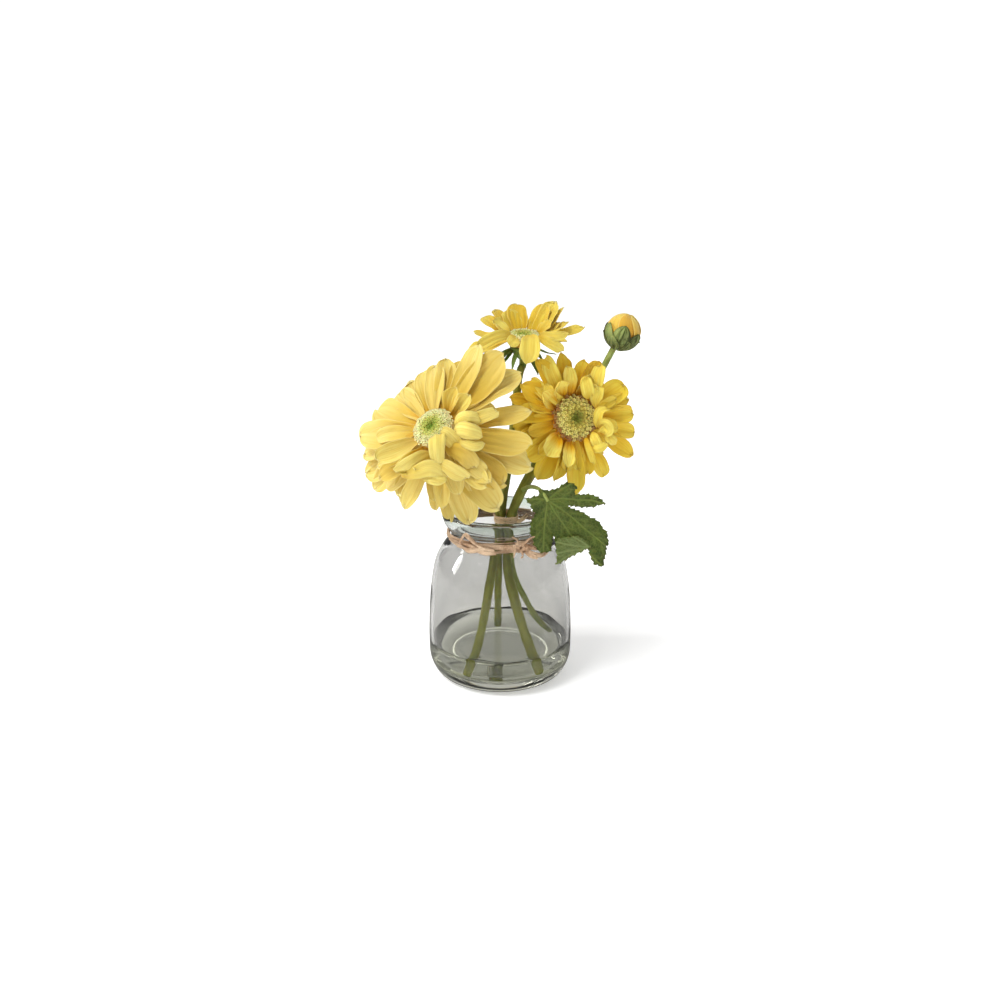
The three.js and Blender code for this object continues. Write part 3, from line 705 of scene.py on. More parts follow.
    @staticmethod
    def grow(base: Mesh, tree: NodeTree, inputs: dict[str, Any], name: str) -> Mesh:
        """Runs a tree on a mesh and gives back the plain mesh that it makes.

        Args:
            base: the mesh that the tree starts from.
            tree: the Geometry Nodes tree.
            inputs: its inputs by name.
            name: the new mesh's name.

        Returns:
            The mesh, with the modifier and its object gone.
        """
        holder = add_object(f"{name}_seed", base)
        grown = holder.modifiers.new("grow", "NODES")
        grown.node_group = tree
        for item in tree.interface.items_tree:
            if item.in_out == "INPUT" and item.name in inputs:
                grown[item.identifier] = inputs[item.name]
        graph = bpy.context.evaluated_depsgraph_get()
        mesh = bpy.data.meshes.new_from_object(
            holder.evaluated_get(graph), preserve_all_data_layers=True, depsgraph=graph
        )
        mesh.name = name
        mesh.shade_smooth()
        holder.modifiers.clear()
        bpy.data.objects.remove(holder)
        return mesh

    def strands(
        self, paths: Sequence[np.ndarray], name: str, finish: Material, mode: Sweep = Sweep.ROUND,
        girths: Sequence[np.ndarray] | None = None, leans: Sequence[np.ndarray] | None = None, **inputs: Any,
    ) -> Mesh:
        """Sweeps a section along paths in millimetres.

        Args:
            paths: the points of each path.
            name: the new mesh's name.
            finish: its material.
            mode: how the section is kept from turning.
            girths: the section's scale at each point of each path.
            leans: the section's turn in radians at each point of each path.
            inputs: further inputs of the tree, with _ for each space in their names.

        Returns:
            The swept mesh.
        """
        base = bpy.data.meshes.new(f"{name}_paths")
        edges, start = [], 0
        for path in paths:
            edges += [(start + i, start + i + 1) for i in range(len(path) - 1)]
            start += len(path)
        base.from_pydata((np.vstack(paths) * MM).tolist(), edges, [])
        for label, given, plain in (("girth", girths, 1.0), ("lean", leans, 0.0)):
            values = np.concatenate(given) if given is not None else np.full(start, plain)
            base.attributes.new(label, "FLOAT", "POINT").data.foreach_set("value", values)
        named = {label.replace("_", " "): value for label, value in inputs.items()}
        return self.grow(base, self.sweep[mode], {**named, "Finish": finish}, name)

    def hairs(
        self, mesh: Mesh, name: str, finish: Material, density: float, length: float,
        lean: float, seed: int,
    ) -> Mesh:
        """Hairs that stand on a mesh.

        Args:
            mesh: what they stand on.
            name: the new mesh's name.
            finish: their material.
            density: how many stand on a square metre.
            length: how long the longest are, in millimetres.
            lean: how far they lean, as a share of their length.
            seed: what sets their places.

        Returns:
            The hairs alone.
        """
        inputs = {"Density": density, "Length": length * MM, "Width": 0.03 * MM, "Lean": lean, "Seed": seed}
        return self.grow(mesh.copy(), self.fuzz, {**inputs, "Finish": finish}, name)


# --- finishes


class Effects:
    """Shader groups that more than one finish uses."""

    def __init__(self) -> None:
        """Builds the groups once."""
        self.fibres = self._fibres()
        self.mottle = self._mottle()

    @staticmethod
    def _fibres() -> NodeTree:
        """Fine lines along a blade or strand, as a mask and a height."""
        tree = bpy.data.node_groups.new("lengthwise_fibres", "ShaderNodeTree")
        into = {"Along": 0.0, "Across": 0.0, "Tone": 0.5, "Fineness": 9.0, "Stretch": 1.5}
        build = declare(tree, into, {"Mask": "Float", "Height": "Float"})
        o = build.node("NodeGroupInput").outputs
        spread = build.join(
            build.times(o["Across"], o["Fineness"]), build.times(o["Along"], o["Stretch"]),
            build.times(o["Tone"], 37.0),
        )
        broad = build.noise(spread, 1.0)
        fine = build.noise(spread, 3.1, 3.0)
        height = build.plus(build.times(broad, 0.6), build.times(fine, 0.4))
        build.node("NodeGroupOutput", {"Mask": build.remap(broad, 0.35, 0.68), "Height": height})
        return tree

    @staticmethod
    def _mottle() -> NodeTree:
        """Soft blotches through the object's own space, as a broad and a fine mask."""
        tree = bpy.data.node_groups.new("soft_mottle", "ShaderNodeTree")
        build = declare(tree, {"Size": 120.0, "Contrast": 0.2}, {"Broad": "Float", "Fine": "Float"})
        o = build.node("NodeGroupInput").outputs
        spot = build.spot()
        broad = build.noise(spot, o["Size"])
        fine = build.noise(spot, build.times(o["Size"], 6.0), 3.0)
        ranged = build.remap(broad, build.minus(0.5, o["Contrast"]), build.plus(0.5, o["Contrast"]))
        build.node("NodeGroupOutput", {"Broad": ranged, "Fine": fine})
        return tree


class Surface(Tree):
    """A new material's tree, with its Principled shader and ways to use the shared groups."""

    def __init__(self, name: str, effects: Effects) -> None:
        """Makes the material."""
        self.material = bpy.data.materials.new(name)
        self.material.use_nodes = True
        super().__init__(self.material.node_tree)
        self.shader = next(n for n in self.tree.nodes if n.type == "BSDF_PRINCIPLED")
        self.effects = effects

    def fibres(self, tone: Any, fineness: float, stretch: float) -> tuple[Any, Any]:
        """The mask and height of lines along the mesh, from its own along and across values."""
        inputs = {"Along": self.value("along"), "Across": self.value("across"), "Tone": tone,
                  "Fineness": fineness, "Stretch": stretch}
        made = self.node("ShaderNodeGroup", inputs, node_tree=self.effects.fibres)
        return made.outputs["Mask"], made.outputs["Height"]

    def mottle(self, size: float, contrast: float = 0.2) -> tuple[Any, Any]:
        """The broad and the fine mask of blotches."""
        inputs = {"Size": size, "Contrast": contrast}
        made = self.node("ShaderNodeGroup", inputs, node_tree=self.effects.mottle)
        return made.outputs["Broad"], made.outputs["Fine"]

    def side(self, start: float, share: float) -> Any:
        """How near a point lies to the sides of its blade or strand, up to a share."""
        return self.remap(self.math("ABSOLUTE", self.value("across")), start, 1.0, 0.0, share)

    def up(self) -> Any:
        """The height over the floor, in metres."""
        return self.out("ShaderNodeSeparateXYZ", {0: self.spot()}, "Z")

    def bump(self, strength: float, distance: float, height: Any) -> Any:
        """The normal of a bumpy surface."""
        inputs = {"Strength": strength, "Distance": distance, "Height": height}
        return self.out("ShaderNodeBump", inputs, "Normal")


@dataclass(frozen=True)
class Finish:
    """What each finish has: a name, and the sockets of the shader that it sets."""

    name: str

    def sockets(self, build: Surface) -> dict[str, Any]:
        """The shader's constants and links by the names of its sockets."""
        raise NotImplementedError

    def material(self, effects: Effects) -> Material:
        """Builds the material with the shared shader groups."""
        build = Surface(self.name, effects)
        for name, value in self.sockets(build).items():
            build.put(build.shader.inputs[name], value)
        return build.material


@dataclass(frozen=True)
class PetalFinish(Finish):
    """Satin petal: orange root, yellow middle, paler tip, fine lengthwise creases. The orange root is partly
    the petal's own colour and partly painted shade where the petals crowd round the disc.
    """

    root: Colour
    deep: Colour
    middle: Colour
    tip: Colour
    curled: Colour
    rim: Colour
    rim_share: float = 0.3
    glow: float = 0.22

    def sockets(self, build: Surface) -> dict[str, Any]:
        """Colours the blades by their own along, across, tone and layer values."""
        along, tone = build.value("along"), build.value("tone")
        mask, height = build.fibres(tone, 7.0, 1.3)
        reach = build.plus(build.plus(along, build.sway(mask, 0.16)), build.sway(tone, 0.14))
        # The deep orange at the root is partly the petal's own colour and partly painted shade round the
        # disc.
        stops = [(0.02, self.root), (0.2, self.deep), (0.5, self.middle), (0.86, self.tip)]
        colour = build.ramp(reach, stops)
        inner = build.ramp(reach, [(0.0, self.root), (0.22, self.deep), (0.5, self.curled)])
        colour = build.mix(build.value("layer"), colour, inner)
        colour = build.mix(build.remap(tone, 0.6, 1.0, 0.0, 0.6), colour, self.tip)
        colour = build.mix(build.remap(tone, 0.4, 0.0, 0.0, 0.6), colour, self.deep)
        colour = build.mix(mask, colour, self.deep, 0.48)
        edge = build.math("MAXIMUM", build.side(0.9, 1.0), build.remap(along, 0.955, 1.0))
        return {
            "Base Color": build.mix(edge, colour, self.rim, self.rim_share),
            "Roughness": build.remap(height, 0.3, 0.7, 0.5, 0.66),
            "Specular IOR Level": 0.28,
            "Subsurface Weight": self.glow,
            "Subsurface Radius": (1.0, 0.7, 0.2),
            "Subsurface Scale": 0.0016,
            "Sheen Weight": 0.12,
            "Sheen Roughness": 0.5,
            "Normal": build.bump(0.6, 0.0007, height),
        }


@dataclass(frozen=True)
class FloretFinish(Finish):
    """Disc florets: a green eye, paler rings outwards and tinted outer tips, with painted shade low between
    the florets and deep in their throats.
    """

    eye: Colour
    ring: Colour
    outer: Colour
    # The colour of the painted shade low between the florets and deep in their throats.
    throat: Colour
    tips: Colour
    tip_share: float
    eye_share: float = 0.3

    def sockets(self, build: Surface) -> dict[str, Any]:
        """Colours the florets by their own share, tone and depth values."""
        place = build.plus(build.value("share"), build.sway(build.value("tone"), 0.12))
        depth = build.value("depth")
        stops = [(self.eye_share * 0.5, self.eye), (self.eye_share * 1.5, self.ring), (0.78, self.outer)]
        colour = build.ramp(place, stops)
        # Painted shade: darker low between the florets and deep in their throats.
        colour = build.mix(build.remap(depth, 0.1, 0.8, 0.95, 0.0), colour, self.throat)
        tipped = build.times(build.remap(place, 0.86, 0.95), build.remap(depth, 0.05, 0.5))
        colour = build.mix(tipped, colour, self.tips, self.tip_share)
        broad, fine = build.mottle(900.0)
        return {
            "Base Color": build.mix(broad, colour, self.ring, 0.25),
            "Roughness": 0.6,
            "Specular IOR Level": 0.25,
            "Subsurface Weight": 0.15,
            "Subsurface Scale": 0.001,
            "Normal": build.bump(0.25, 0.0003, fine),
        }


@dataclass(frozen=True)
class GreenFinish(Finish):
    """Stems, bracts and sepals: soft green with lengthwise streaks and blotches.

    The foot colour is painted light: lighter and yellower inside the glass jar, fading out towards its neck,
    where the glass lets less light reach the stem. The spot is a place in metres round which the surface is
    paler: painted light on the lit front left of the bud.
    """

    base: Colour
    pale: Colour
    dark: Colour
    bronze: Colour
    painted_light_in_jar: Colour | None = None
    stretch: float = 60.0
    rim_share: float = 0.0
    painted_light_spot: Spot | None = None

    def sockets(self, build: Surface) -> dict[str, Any]:
        """Colours the surface by along and across values and by its place."""
        mask, height = build.fibres(build.value("tone"), 6.0, self.stretch)
        broad, fine = build.mottle(90.0)
        colour = build.mix(broad, build.mix(mask, self.base, self.pale), self.dark, 0.55)
        colour = build.mix(build.remap(fine, 0.56, 0.7), colour, self.bronze, 0.5)
        # Painted light: the stem is lighter and yellower inside the glass jar, fading out towards its neck.
        if self.painted_light_in_jar is not None:
            colour = build.mix(build.remap(build.up(), 0.03, 0.096, 0.55, 0.0), colour, self.painted_light_in_jar)
        colour = build.mix(build.side(0.8, self.rim_share), colour, self.bronze)
        # Painted light: the sepals are paler round a spot on the bud's lit front left.
        if self.painted_light_spot is not None:
            ends = {0: build.spot(), 1: self.painted_light_spot}
            away = build.out("ShaderNodeVectorMath", ends, "Value", operation="DISTANCE")
            colour = build.mix(build.remap(away, 0.0045, 0.011, 0.1, 1.0), self.pale, colour)
        return {
            "Base Color": colour,
            "Roughness": build.remap(fine, 0.3, 0.7, 0.48, 0.62),
            "Specular IOR Level": 0.35,
            "Subsurface Weight": 0.1,
            "Subsurface Scale": 0.001,
            "Normal": build.bump(0.4, 0.0004, build.plus(height, build.times(fine, 0.6))),
        }


@dataclass(frozen=True)
class LeafFinish(Finish):
    """Leaf blade: mid green between pale veins, with a pale downy underside."""

    blade: Colour
    dark: Colour
    vein: Colour
    under: Colour
    under_vein: Colour

    def sockets(self, build: Surface) -> dict[str, Any]:
        """Colours the leaf by its distances to its veins."""
        main, side = build.value("main_vein"), build.value("side_vein")
        broad, fine = build.mottle(160.0)
        top = build.mix(broad, self.blade, self.dark, 0.75)
        top = build.mix(build.remap(side, 0.4, 1.8, 0.25, 0.0), top, self.vein)
        wide, narrow = build.remap(main, 0.2, 0.75, 1.0, 0.0), build.remap(side, 0.08, 0.34, 0.7, 0.0)
        lines = build.math("MAXIMUM", wide, narrow)
        cells = {"Vector": build.spot(), "Scale": 620.0}
        cracks = build.out("ShaderNodeTexVoronoi", cells, "Distance", feature="DISTANCE_TO_EDGE")
        net = build.remap(cracks, 0.01, 0.13, 0.36, 0.0)
        top = build.mix(lines, build.mix(net, top, self.vein), self.vein, 0.62)
        low = build.mix(broad, self.under, self.blade, 0.3)
        low = build.mix(lines, build.mix(net, low, self.under_vein), self.under_vein, 0.6)
        return {
            "Base Color": build.mix(build.value("under"), top, low),
            "Roughness": build.remap(fine, 0.3, 0.7, 0.46, 0.62),
            "Specular IOR Level": 0.35,
            "Subsurface Weight": 0.12,
            "Subsurface Scale": 0.0012,
            "Normal": build.bump(0.5, 0.0004, build.minus(build.times(fine, 0.5), lines)),
        }


@dataclass(frozen=True)
class RaffiaFinish(Finish):
    """Dry raffia: light brown strips with long fibres and darker splits, and painted shade along the strands'
    edges.
    """

    pale: Colour
    brown: Colour
    split: Colour

    def sockets(self, build: Surface) -> dict[str, Any]:
        """Colours the strands by their own along and across values."""
        broad, _ = build.mottle(110.0)
        mask, height = build.fibres(broad, 7.0, 60.0)
        colour = build.mix(mask, build.mix(broad, self.pale, self.brown), self.pale, 0.55)
        splits = build.times(build.remap(height, 0.46, 0.34), 0.85)
        # The splits are the raffia's own; the darker strand edges are painted shade between neighbouring
        # strands.
        dark = build.math("MAXIMUM", splits, build.side(0.7, 0.75))
        return {
            "Base Color": build.mix(dark, colour, self.split),
            "Roughness": 0.58,
            "Specular IOR Level": 0.35,
            "Sheen Weight": 0.1,
            "Normal": build.bump(0.7, 0.0005, height),
        }


@dataclass(frozen=True)
class ClearFinish(Finish):
    """Glass or water, with a plain Transmission Weight and a slow unevenness in its surface.

    foot and lip are the tints near the floor and at the mouth, and edge is painted shade where the surface is
    seen edge on, drawing the glass's dark outlines.
    """

    tint: Colour
    ior: float
    wave: float
    wave_size: float
    foot: Colour | None = None
    lip: Colour | None = None
    # The colour of the painted shade at the glass's edges.
    edge: Colour = (0.1, 0.11, 0.1, 1.0)

    def sockets(self, build: Surface) -> dict[str, Any]:
        """Tints the clear body by its height, and paints shade where it is seen edge on."""
        colour: Any = self.tint
        if self.foot is not None and self.lip is not None:
            colour = build.mix(build.remap(build.up(), 0.004, 0.03), self.foot, colour)
            colour = build.mix(build.remap(build.up(), 0.089, 0.0965), colour, self.lip)
            # Painted shade: the glass turns darker where it is seen edge on, drawing dark outlines.
            edge_on = build.out("ShaderNodeLayerWeight", {"Blend": 0.5}, "Facing")
            colour = build.mix(build.remap(edge_on, 0.85, 0.99, 0.0, 0.4), colour, self.edge)
        broad, _ = build.mottle(self.wave_size, 0.5)
        return {
            "Base Color": colour,
            "Metallic": 0.0,
            "Roughness": 0.0,
            "IOR": self.ior,
            "Transmission Weight": 1.0,
            "Normal": build.bump(self.wave, 0.002, broad),
        }


# --- placing


def add_object(name: str, data: Any) -> Object:
    """A new object in the scene."""
    made = bpy.data.objects.new(name, data)
    bpy.context.scene.collection.objects.link(made)
    return made


def aimed(name: str, data: Any, way: Spot) -> Object:
    """A new lamp in the scene, which shines along a way."""
    lamp = add_object(name, data)
    lamp.rotation_euler = Vector(way).to_track_quat("-Z", "Y").to_euler()
    return lamp


def place(mesh: Mesh, name: str, node: str, slot: str, finish: Material | None = None) -> None:
    """Makes a piece of a finished mesh, hangs it on the body and hides the CAD node that it stands for.

    Args:
        mesh: the piece's mesh, in metres in the frame.
        name: the piece's name.
        node: the CAD node that it stands for.
        slot: the record's material slot; not used.
        finish: its material, where the mesh has none yet.
    """
    if finish is not None:
        mesh.materials.clear()
        mesh.materials.append(finish)
    piece = add_object(name, mesh)
    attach(piece, BODY)
    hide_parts(node)
    LOG.info("%s: %d faces", name, len(mesh.polygons))


# --- blooms


class Between(NamedTuple):
    """Petals that fill a part of the ring behind the others: how many, their sizes and where."""

    count: int
    length: float
    width: float
    lift: float
    first: float
    span: float


@dataclass(frozen=True)
class Bloom:
    """A daisy head: petals in layers on a receptacle, and a disc of florets.

    tilt is how far the disc is raised, how far it leans and the way of its axis. rise is the
    height of its dome, and dome_share its width as a share of the receptacle's.
    """

    name: str
    centre: Spot
    facing: Spot
    disc_radius: float
    seed: int
    petals: list[Row]
    inner: list[Row]
    folds: list[Fold]
    petal_finish: PetalFinish
    floret_finish: FloretFinish
    between: Between
    florets: int
    floret_size: float = 1.0
    style: BladeStyle = BladeStyle()
    inner_style: BladeStyle = BladeStyle(cup=0.4, ripple=0.2, twist=0.4, channel=0.4)
    tilt: Spot = (0.0, 0.0, 0.0)
    dome_share: float = 1.0
    rise: float = 3.6
    gap: float = 0.3

    @property
    def frame(self) -> Matrix:
        """The head's own frame, in millimetres."""
        return bloom_frame(self.centre, self.facing)

    def build(self, grower: Grower, effects: Effects) -> None:
        """Builds the petals and the disc."""
        node = f"{self.name}_petals"
        place(self.petal_mesh(), f"{self.name}_daisy_petals", node, node, self.petal_finish.material(effects))
        self.disc(grower, effects)

    def petal_mesh(self) -> Mesh:
        """The outer, the filling, the inner and the folded petals on their receptacle."""
        draw = np.random.default_rng(self.seed)
        shells = Shells()
        rim = self.disc_radius
        strap = replace(self.style, twist=1.6, channel=0.5)
        for i, row in enumerate(self.petals):
            style = strap if row[2] < STRAP_SHARE * row[1] else self.style
            blade(shells, (rim - 1.4, -2.6 + 0.95 * (i % 3)), row, style, draw, layer=0.0)
        fill = self.between
        for i in range(fill.count):
            before = self.petals[int(draw.integers(len(self.petals)))][1] - 3
            row = (
                fill.first + fill.span * (i + draw.uniform(0, 0.8)) / fill.count,
                min(before, fill.length * draw.uniform(0.75, 1.0)), fill.width * draw.uniform(0.7, 1.0),
                fill.lift + draw.uniform(-5, 5), draw.uniform(-12, 12),
            )
            blade(shells, (rim - 0.8, -1.2), row, self.style, draw, layer=0.25)
        for i, row in enumerate(self.inner):
            blade(shells, (rim - 0.2, -0.9 - 0.3 * (i % 2)), row, self.inner_style, draw, layer=1.0)
        towards = self.frame.to_3x3().inverted() @ Vector((-0.08, -0.98, 0.16))
        for fold in self.folds:
            fold.add(shells, towards, draw)
        profile = [(0, -6), (4, -6), (rim - 1.6, -3.8), (rim + 0.4, -2.2), (rim + 0.2, -0.2), (0, -0.1)]
        shells.turn(profile, 48, along=0.0, layer=0.0)
        return shells.mesh(f"{self.name}_petals", self.frame)

    def height(self, share: np.ndarray) -> np.ndarray:
        """The dome's height over the receptacle at a share of its radius."""
        return self.gap + self.rise * (1 - share**3) * (0.55 + 0.45 * np.minimum(1, share / 0.35))

    def disc(self, grower: Grower, effects: Effects) -> None:
        """The dome of the disc, which may lean, and the florets on it."""
        raised, lean, way = self.tilt
        axis = Vector((math.cos(math.radians(way)), math.sin(math.radians(way)), 0))
        frame = self.frame @ Matrix.Translation((0, 0, raised)) @ Matrix.Rotation(math.radians(lean), 4, axis)
        finish = self.floret_finish.material(effects)
        edge = (self.disc_radius - self.gap) * self.dome_share
        share = np.linspace(1, 0, 18)
        low = self.gap - 1.5 * raised
        shells = Shells()
        dome = np.column_stack([edge * share, self.height(share)])
        shells.turn(np.vstack([[0, low], [edge - 0.5, low], dome]), 64, depth=0.5)
        shells.values["share"] = [np.linalg.norm(shells.points[0][:, :2], axis=1) / edge]
        node = f"{self.name}_disc"
        place(shells.mesh(f"{self.name}_dome", frame), f"{self.name}_daisy_disc", node, node, finish)
        seed = bpy.data.objects.new("floret", self.floret().mesh("floret"))
        mesh = grower.grow(
            bpy.data.meshes.new("nothing"), grower.spiral,
            {"Floret": seed, "Count": self.florets, "Turn": GOLDEN_TURN, "Edge": edge * MM,
             "Rise": self.rise * MM, "Floor": self.gap * MM, "Inner Size": 0.5 * self.floret_size,
             "Outer Size": self.floret_size, "Splay": 0.8, "Jitter": 0.18, "Seed": self.seed,
             "Finish": finish},
            f"{self.name}_florets",
        )
        shrink = Matrix.Scale(MM, 4)
        mesh.transform(shrink @ frame @ shrink.inverted())
        place(mesh, f"{self.name}_daisy_florets", node, node)
        bpy.data.objects.remove(seed)

    @staticmethod
    def floret() -> Shells:
        """A small five-lobed trumpet with a deep throat."""
        sections = np.array([
            (0, -0.8, 0), (0.26, -0.8, 0), (0.4, 0.8, 0.45), (0.78, 1.5, 1), (0.48, 1.36, 0.9),
            (0.16, 0.95, 0.4), (0, 0.9, 0.3),
        ])
        depth = sections[:, 2]
        sides, mouth = 10, 2
        shells = Shells()
        shells.turn(sections[:, :2], sides)
        lobes = 1 + 0.34 * np.cos(5 * np.linspace(0, 2 * np.pi, sides, endpoint=False))
        shells.points[0][mouth * sides : (mouth + 1) * sides, :2] *= lobes[:, None]
        shells.values = {"depth": [np.concatenate([np.repeat(depth[1:-1], sides), depth[[0, -1]]])]}
        return shells

    def calyx(self, bracts: Sequence[Row]) -> Mesh:
        """The green cup under the head and its pointed bracts."""
        draw = np.random.default_rng(self.seed)
        rim = self.disc_radius
        shells = Shells()
        cup = [(0, -12.5), (2.6, -12.5), (3.6, -11.4), (5.4, -9.6), (rim - 2.2, -7.2), (rim - 1.2, -5.6),
               (rim - 1.6, -4.6), (rim - 2.4, -4.5), (4, -6.3), (0, -6.3)]
        shells.turn(cup, 40)
        style = BladeStyle(outline=Outline.BRACT, rows=14, columns=7, cup=0.3, notch=0.0, thickness=0.55)
        for row in bracts:
            blade(shells, (rim - 3.2, -5.9), row, style, draw)
        return shells.mesh(f"{self.name}_calyx", self.frame)


def congruent_draws(seed: int) -> Iterable[float]:
    """A repeatable stream of numbers from 0 to 1, the same one that sets the bracts in the frame."""
    state = seed
    while True:
        state = (state * 1664525 + 1013904223) % 4294967296
        yield state / 4294967296


def bract_ring(seed: int, count: int = 8) -> list[Row]:
    """Bracts evenly round a bloom, leaning back."""
    stream = congruent_draws(seed)
    rows = []
    for i in range(count):
        turn, longer, lean = next(stream), next(stream), next(stream)
        rows.append((360 * i / count + 8 * turn, 7 + 2 * longer, 4, -62 - 10 * lean, 18))
    return rows


# --- stems


@dataclass(frozen=True)
class Stem:
    """A stem and its hairs."""

    name: str
    piece: str
    slot: str
    radius: float
    path: Path

    @property
    def node(self) -> str:
        """The CAD node that it stands for."""
        return f"{self.name}_stem"

    def build(self, grower: Grower, finish: Material, ends: Path = ()) -> np.ndarray:
        """Builds the stem, slightly uneven and swollen at its joints, and its hairs.

        Args:
            grower: the Geometry Nodes trees.
            finish: its material.
            ends: where its path goes on to.

        Returns:
            The whole path in millimetres.
        """
        line = smooth_path([*self.path, *ends], 90)
        share = np.linspace(0, 1, len(line))
        draw = np.random.default_rng(len(self.name))
        girth = 1 + 0.035 * np.sin(share * 31 + draw.uniform(0, 6))
        girth += 0.03 * np.sin(share * 73 + draw.uniform(0, 6))
        for joint in draw.uniform(0.04, 0.6, 4):
            girth += draw.uniform(0.06, 0.16) * np.exp(-(((share - joint) / 0.009) ** 2))
        size = 2 * self.radius * MM
        mesh = grower.strands([line], f"{self.name}_stalk", finish, girths=[girth], Steps=120, Sides=20,
                              Width=size, Thickness=size, Crinkle=0.0004, Crinkle_Scale=260.0)
        place(mesh, self.piece, self.node, self.slot)
        hairs = grower.hairs(mesh, f"{self.name}_hairs", finish, 420000.0, 0.7, 0.6, 5)
        place(hairs, f"{self.name}_stem_hairs", self.node, self.slot)
        return line


# --- bud

SEPALS = (
    (20, 0.40, 12.5), (78, 0.46, 12), (140, 0.42, 12), (196, 0.36, 12.5), (250, 0.43, 12), (312, 0.47, 12.5),
    (226, 0.58, 11), (284, 0.56, 11.5), (345, 0.6, 11), (50, 0.62, 11), (110, 0.6, 11), (170, 0.58, 11),
)


@dataclass(frozen=True)
class Bud:
    """A closed bud: petals folded over one another in six turns, held by overlapping sepals.

    Each row of SEPALS has the angle round the bud, the share of the half turn where the sepal
    ends, and its width. The last six are the outer ones.
    """

    centre: Spot
    facing: Spot
    petal_finish: PetalFinish
    sepal_finish: GreenFinish
    radius: float = 11.3
    wrap: float = 1.5
    petals: int = 6
    pleat: float = 0.1
    inner_sepals: int = 6

    def build(self, grower: Grower, effects: Effects) -> None:
        """Builds the folded petals, the sepals and their hairs."""
        frame = bloom_frame(self.centre, self.facing)
        place(self.petal_mesh(frame), "bud_folded_petals", "bud_petals", "bud_petals",
              self.petal_finish.material(effects))
        finish = self.sepal_finish.material(effects)
        sepals = self.sepal_mesh(frame)
        place(sepals, "bud_sepals", "bud_stem", "bud_stem", finish)
        hairs = grower.hairs(sepals, "bud_hairs", finish, 4000000.0, 0.8, 0.7, 8)
        place(hairs, "bud_sepal_hairs", "bud_stem", "bud_stem")

    def petal_mesh(self, frame: Matrix) -> Mesh:
        """Six petals, each tucked under the next, round a solid core."""
        ball = self.radius - self.wrap
        shells = Shells()
        v = np.linspace(0, 1, 30)[:, None]
        u = np.linspace(0, 1, 22)[None, :]
        polar = np.pi * (0.97 - 0.93 * v) + 0 * u
        tip = np.clip((v - 0.8) / 0.2, 0, 1)
        tucked = self.pleat * u**0.7 * np.sin(polar) ** 0.8
        wound = (1.75 - 0.5 * tip) * u - 0.08 * self.petals * np.cos(polar)
        for i in range(self.petals):
            azimuth = 2 * np.pi / self.petals * (i + wound)
            waves = 0.008 * np.sin(9 * v + 2 * i) * (1 - u) + 0.006 * np.cos(14 * u + i)
            middle = ball_points(ball * (0.995 - 1.5 * tucked + waves - 0.05 * tip * u), polar, azimuth)
            thin = 0.5 * (1 - 0.6 * (1 - u) ** 6)
            shells.sheet(middle, thin, v, 2 * u - 1, inside_out=True, tone=(i * 0.37) % 1, layer=0.0)
        arc = np.linspace(-np.pi / 2, np.pi / 2, 22)
        shells.turn(0.86 * ball * np.column_stack([np.cos(arc), np.sin(arc)]), 32, layer=0.0)
        return shells.mesh("bud_petals_fine", frame)

    def sepal_mesh(self, frame: Matrix) -> Mesh:
        """The neck and the sepals that hug the ball, each lapping over the next."""
        shells = Shells()
        low = 0.9 - self.radius
        neck = [(0, low - 0.1), (1.4, low - 0.1), (2.6, low + 0.2), (4.2, low + 1.2), (0, low + 1.8)]
        shells.turn(neck, 36)
        draw = np.random.default_rng(6)
        v = np.linspace(0, 1, 26)[:, None]
        s = np.linspace(-1, 1, 15)[None, :]
        for i, (azimuth, top, width) in enumerate(SEPALS):
            polar = np.pi * (0.96 - (0.96 - top) * v) + 0 * s
            half = width / 2 * half_width(v, Outline.SEPAL)
            lap = 0.9 * 0.35 * s * np.sin(polar)
            wave = 0.12 * np.sin(6 * v + 3 * s + draw.uniform(0, 6)) + 4 * np.clip(v - 0.75, 0, 1) ** 2 * s**2
            layer = 0.5 + 0.35 * (i >= self.inner_sepals)
            turn = math.radians(azimuth) + s * half / (self.radius * np.maximum(np.sin(polar), 0.3))
            middle = ball_points(self.radius - self.wrap + layer + lap + wave, polar, turn)
            shells.sheet(middle, 0.5 - 0.25 * s**4, v, s, inside_out=True, tone=draw.uniform(0, 1))
        return shells.mesh("bud_sepals_fine", frame)


# --- leaf

LEAF_OUTLINE = [
    (-3.6, 6.1), (1.2, 5.1), (5.3, 6), (9.4, 10), (12.9, 9.6), (16, 8), (13.8, 3.4),
    (16.2, 3.4), (20.7, 3.6), (25.6, 2.9), (28.9, 0.8), (31.4, -1.9), (26.8, -2.1), (26.3, -3.2),
    (21, -3.6), (17.6, -4.1), (13.6, -3.5), (10.4, -3.3),
    (15.8, -5.5), (21, -7.1), (22, -8.6), (24.4, -9.2), (26.7, -10.7), (28.8, -12.4), (29, -13.9),
    (32.5, -17.1), (32.1, -18.8), (33.3, -22.9), (31.8, -24), (32, -26.6), (31.2, -31.6),
    (30.3, -36.4), (27.4, -35.3), (25.6, -35.3), (23.4, -31), (21.8, -26), (20.8, -24), (12.4, -29), (6, -33),
    (5.4, -30), (4.3, -22), (3.4, -19.4), (3.1, -24.8), (2.6, -28.5), (-2, -29.6), (-4.1, -29.1),
    (-5.8, -26.3), (-7.5, -24.8), (-7.3, -22.1), (-9.4, -18.8), (-9, -13.5), (-8.6, -11.7),
    (-6, -7.9), (-8.2, -6), (-9.1, -2.6), (-12, -0.2), (-9.4, 0.9), (-7.5, 1.9), (-4.1, 2.3),
    (-5.2, 4.9),
]
FLAP_OUTLINE = [
    (23.3, -25.5), (4.3, -36.6), (5.5, -31.5), (4.9, -26.6), (4.5, -22.9), (5.3, -20.6),
    (9, -19.5), (12.8, -18.8), (16.2, -18.3), (19.8, -20.4), (23.7, -24),
]
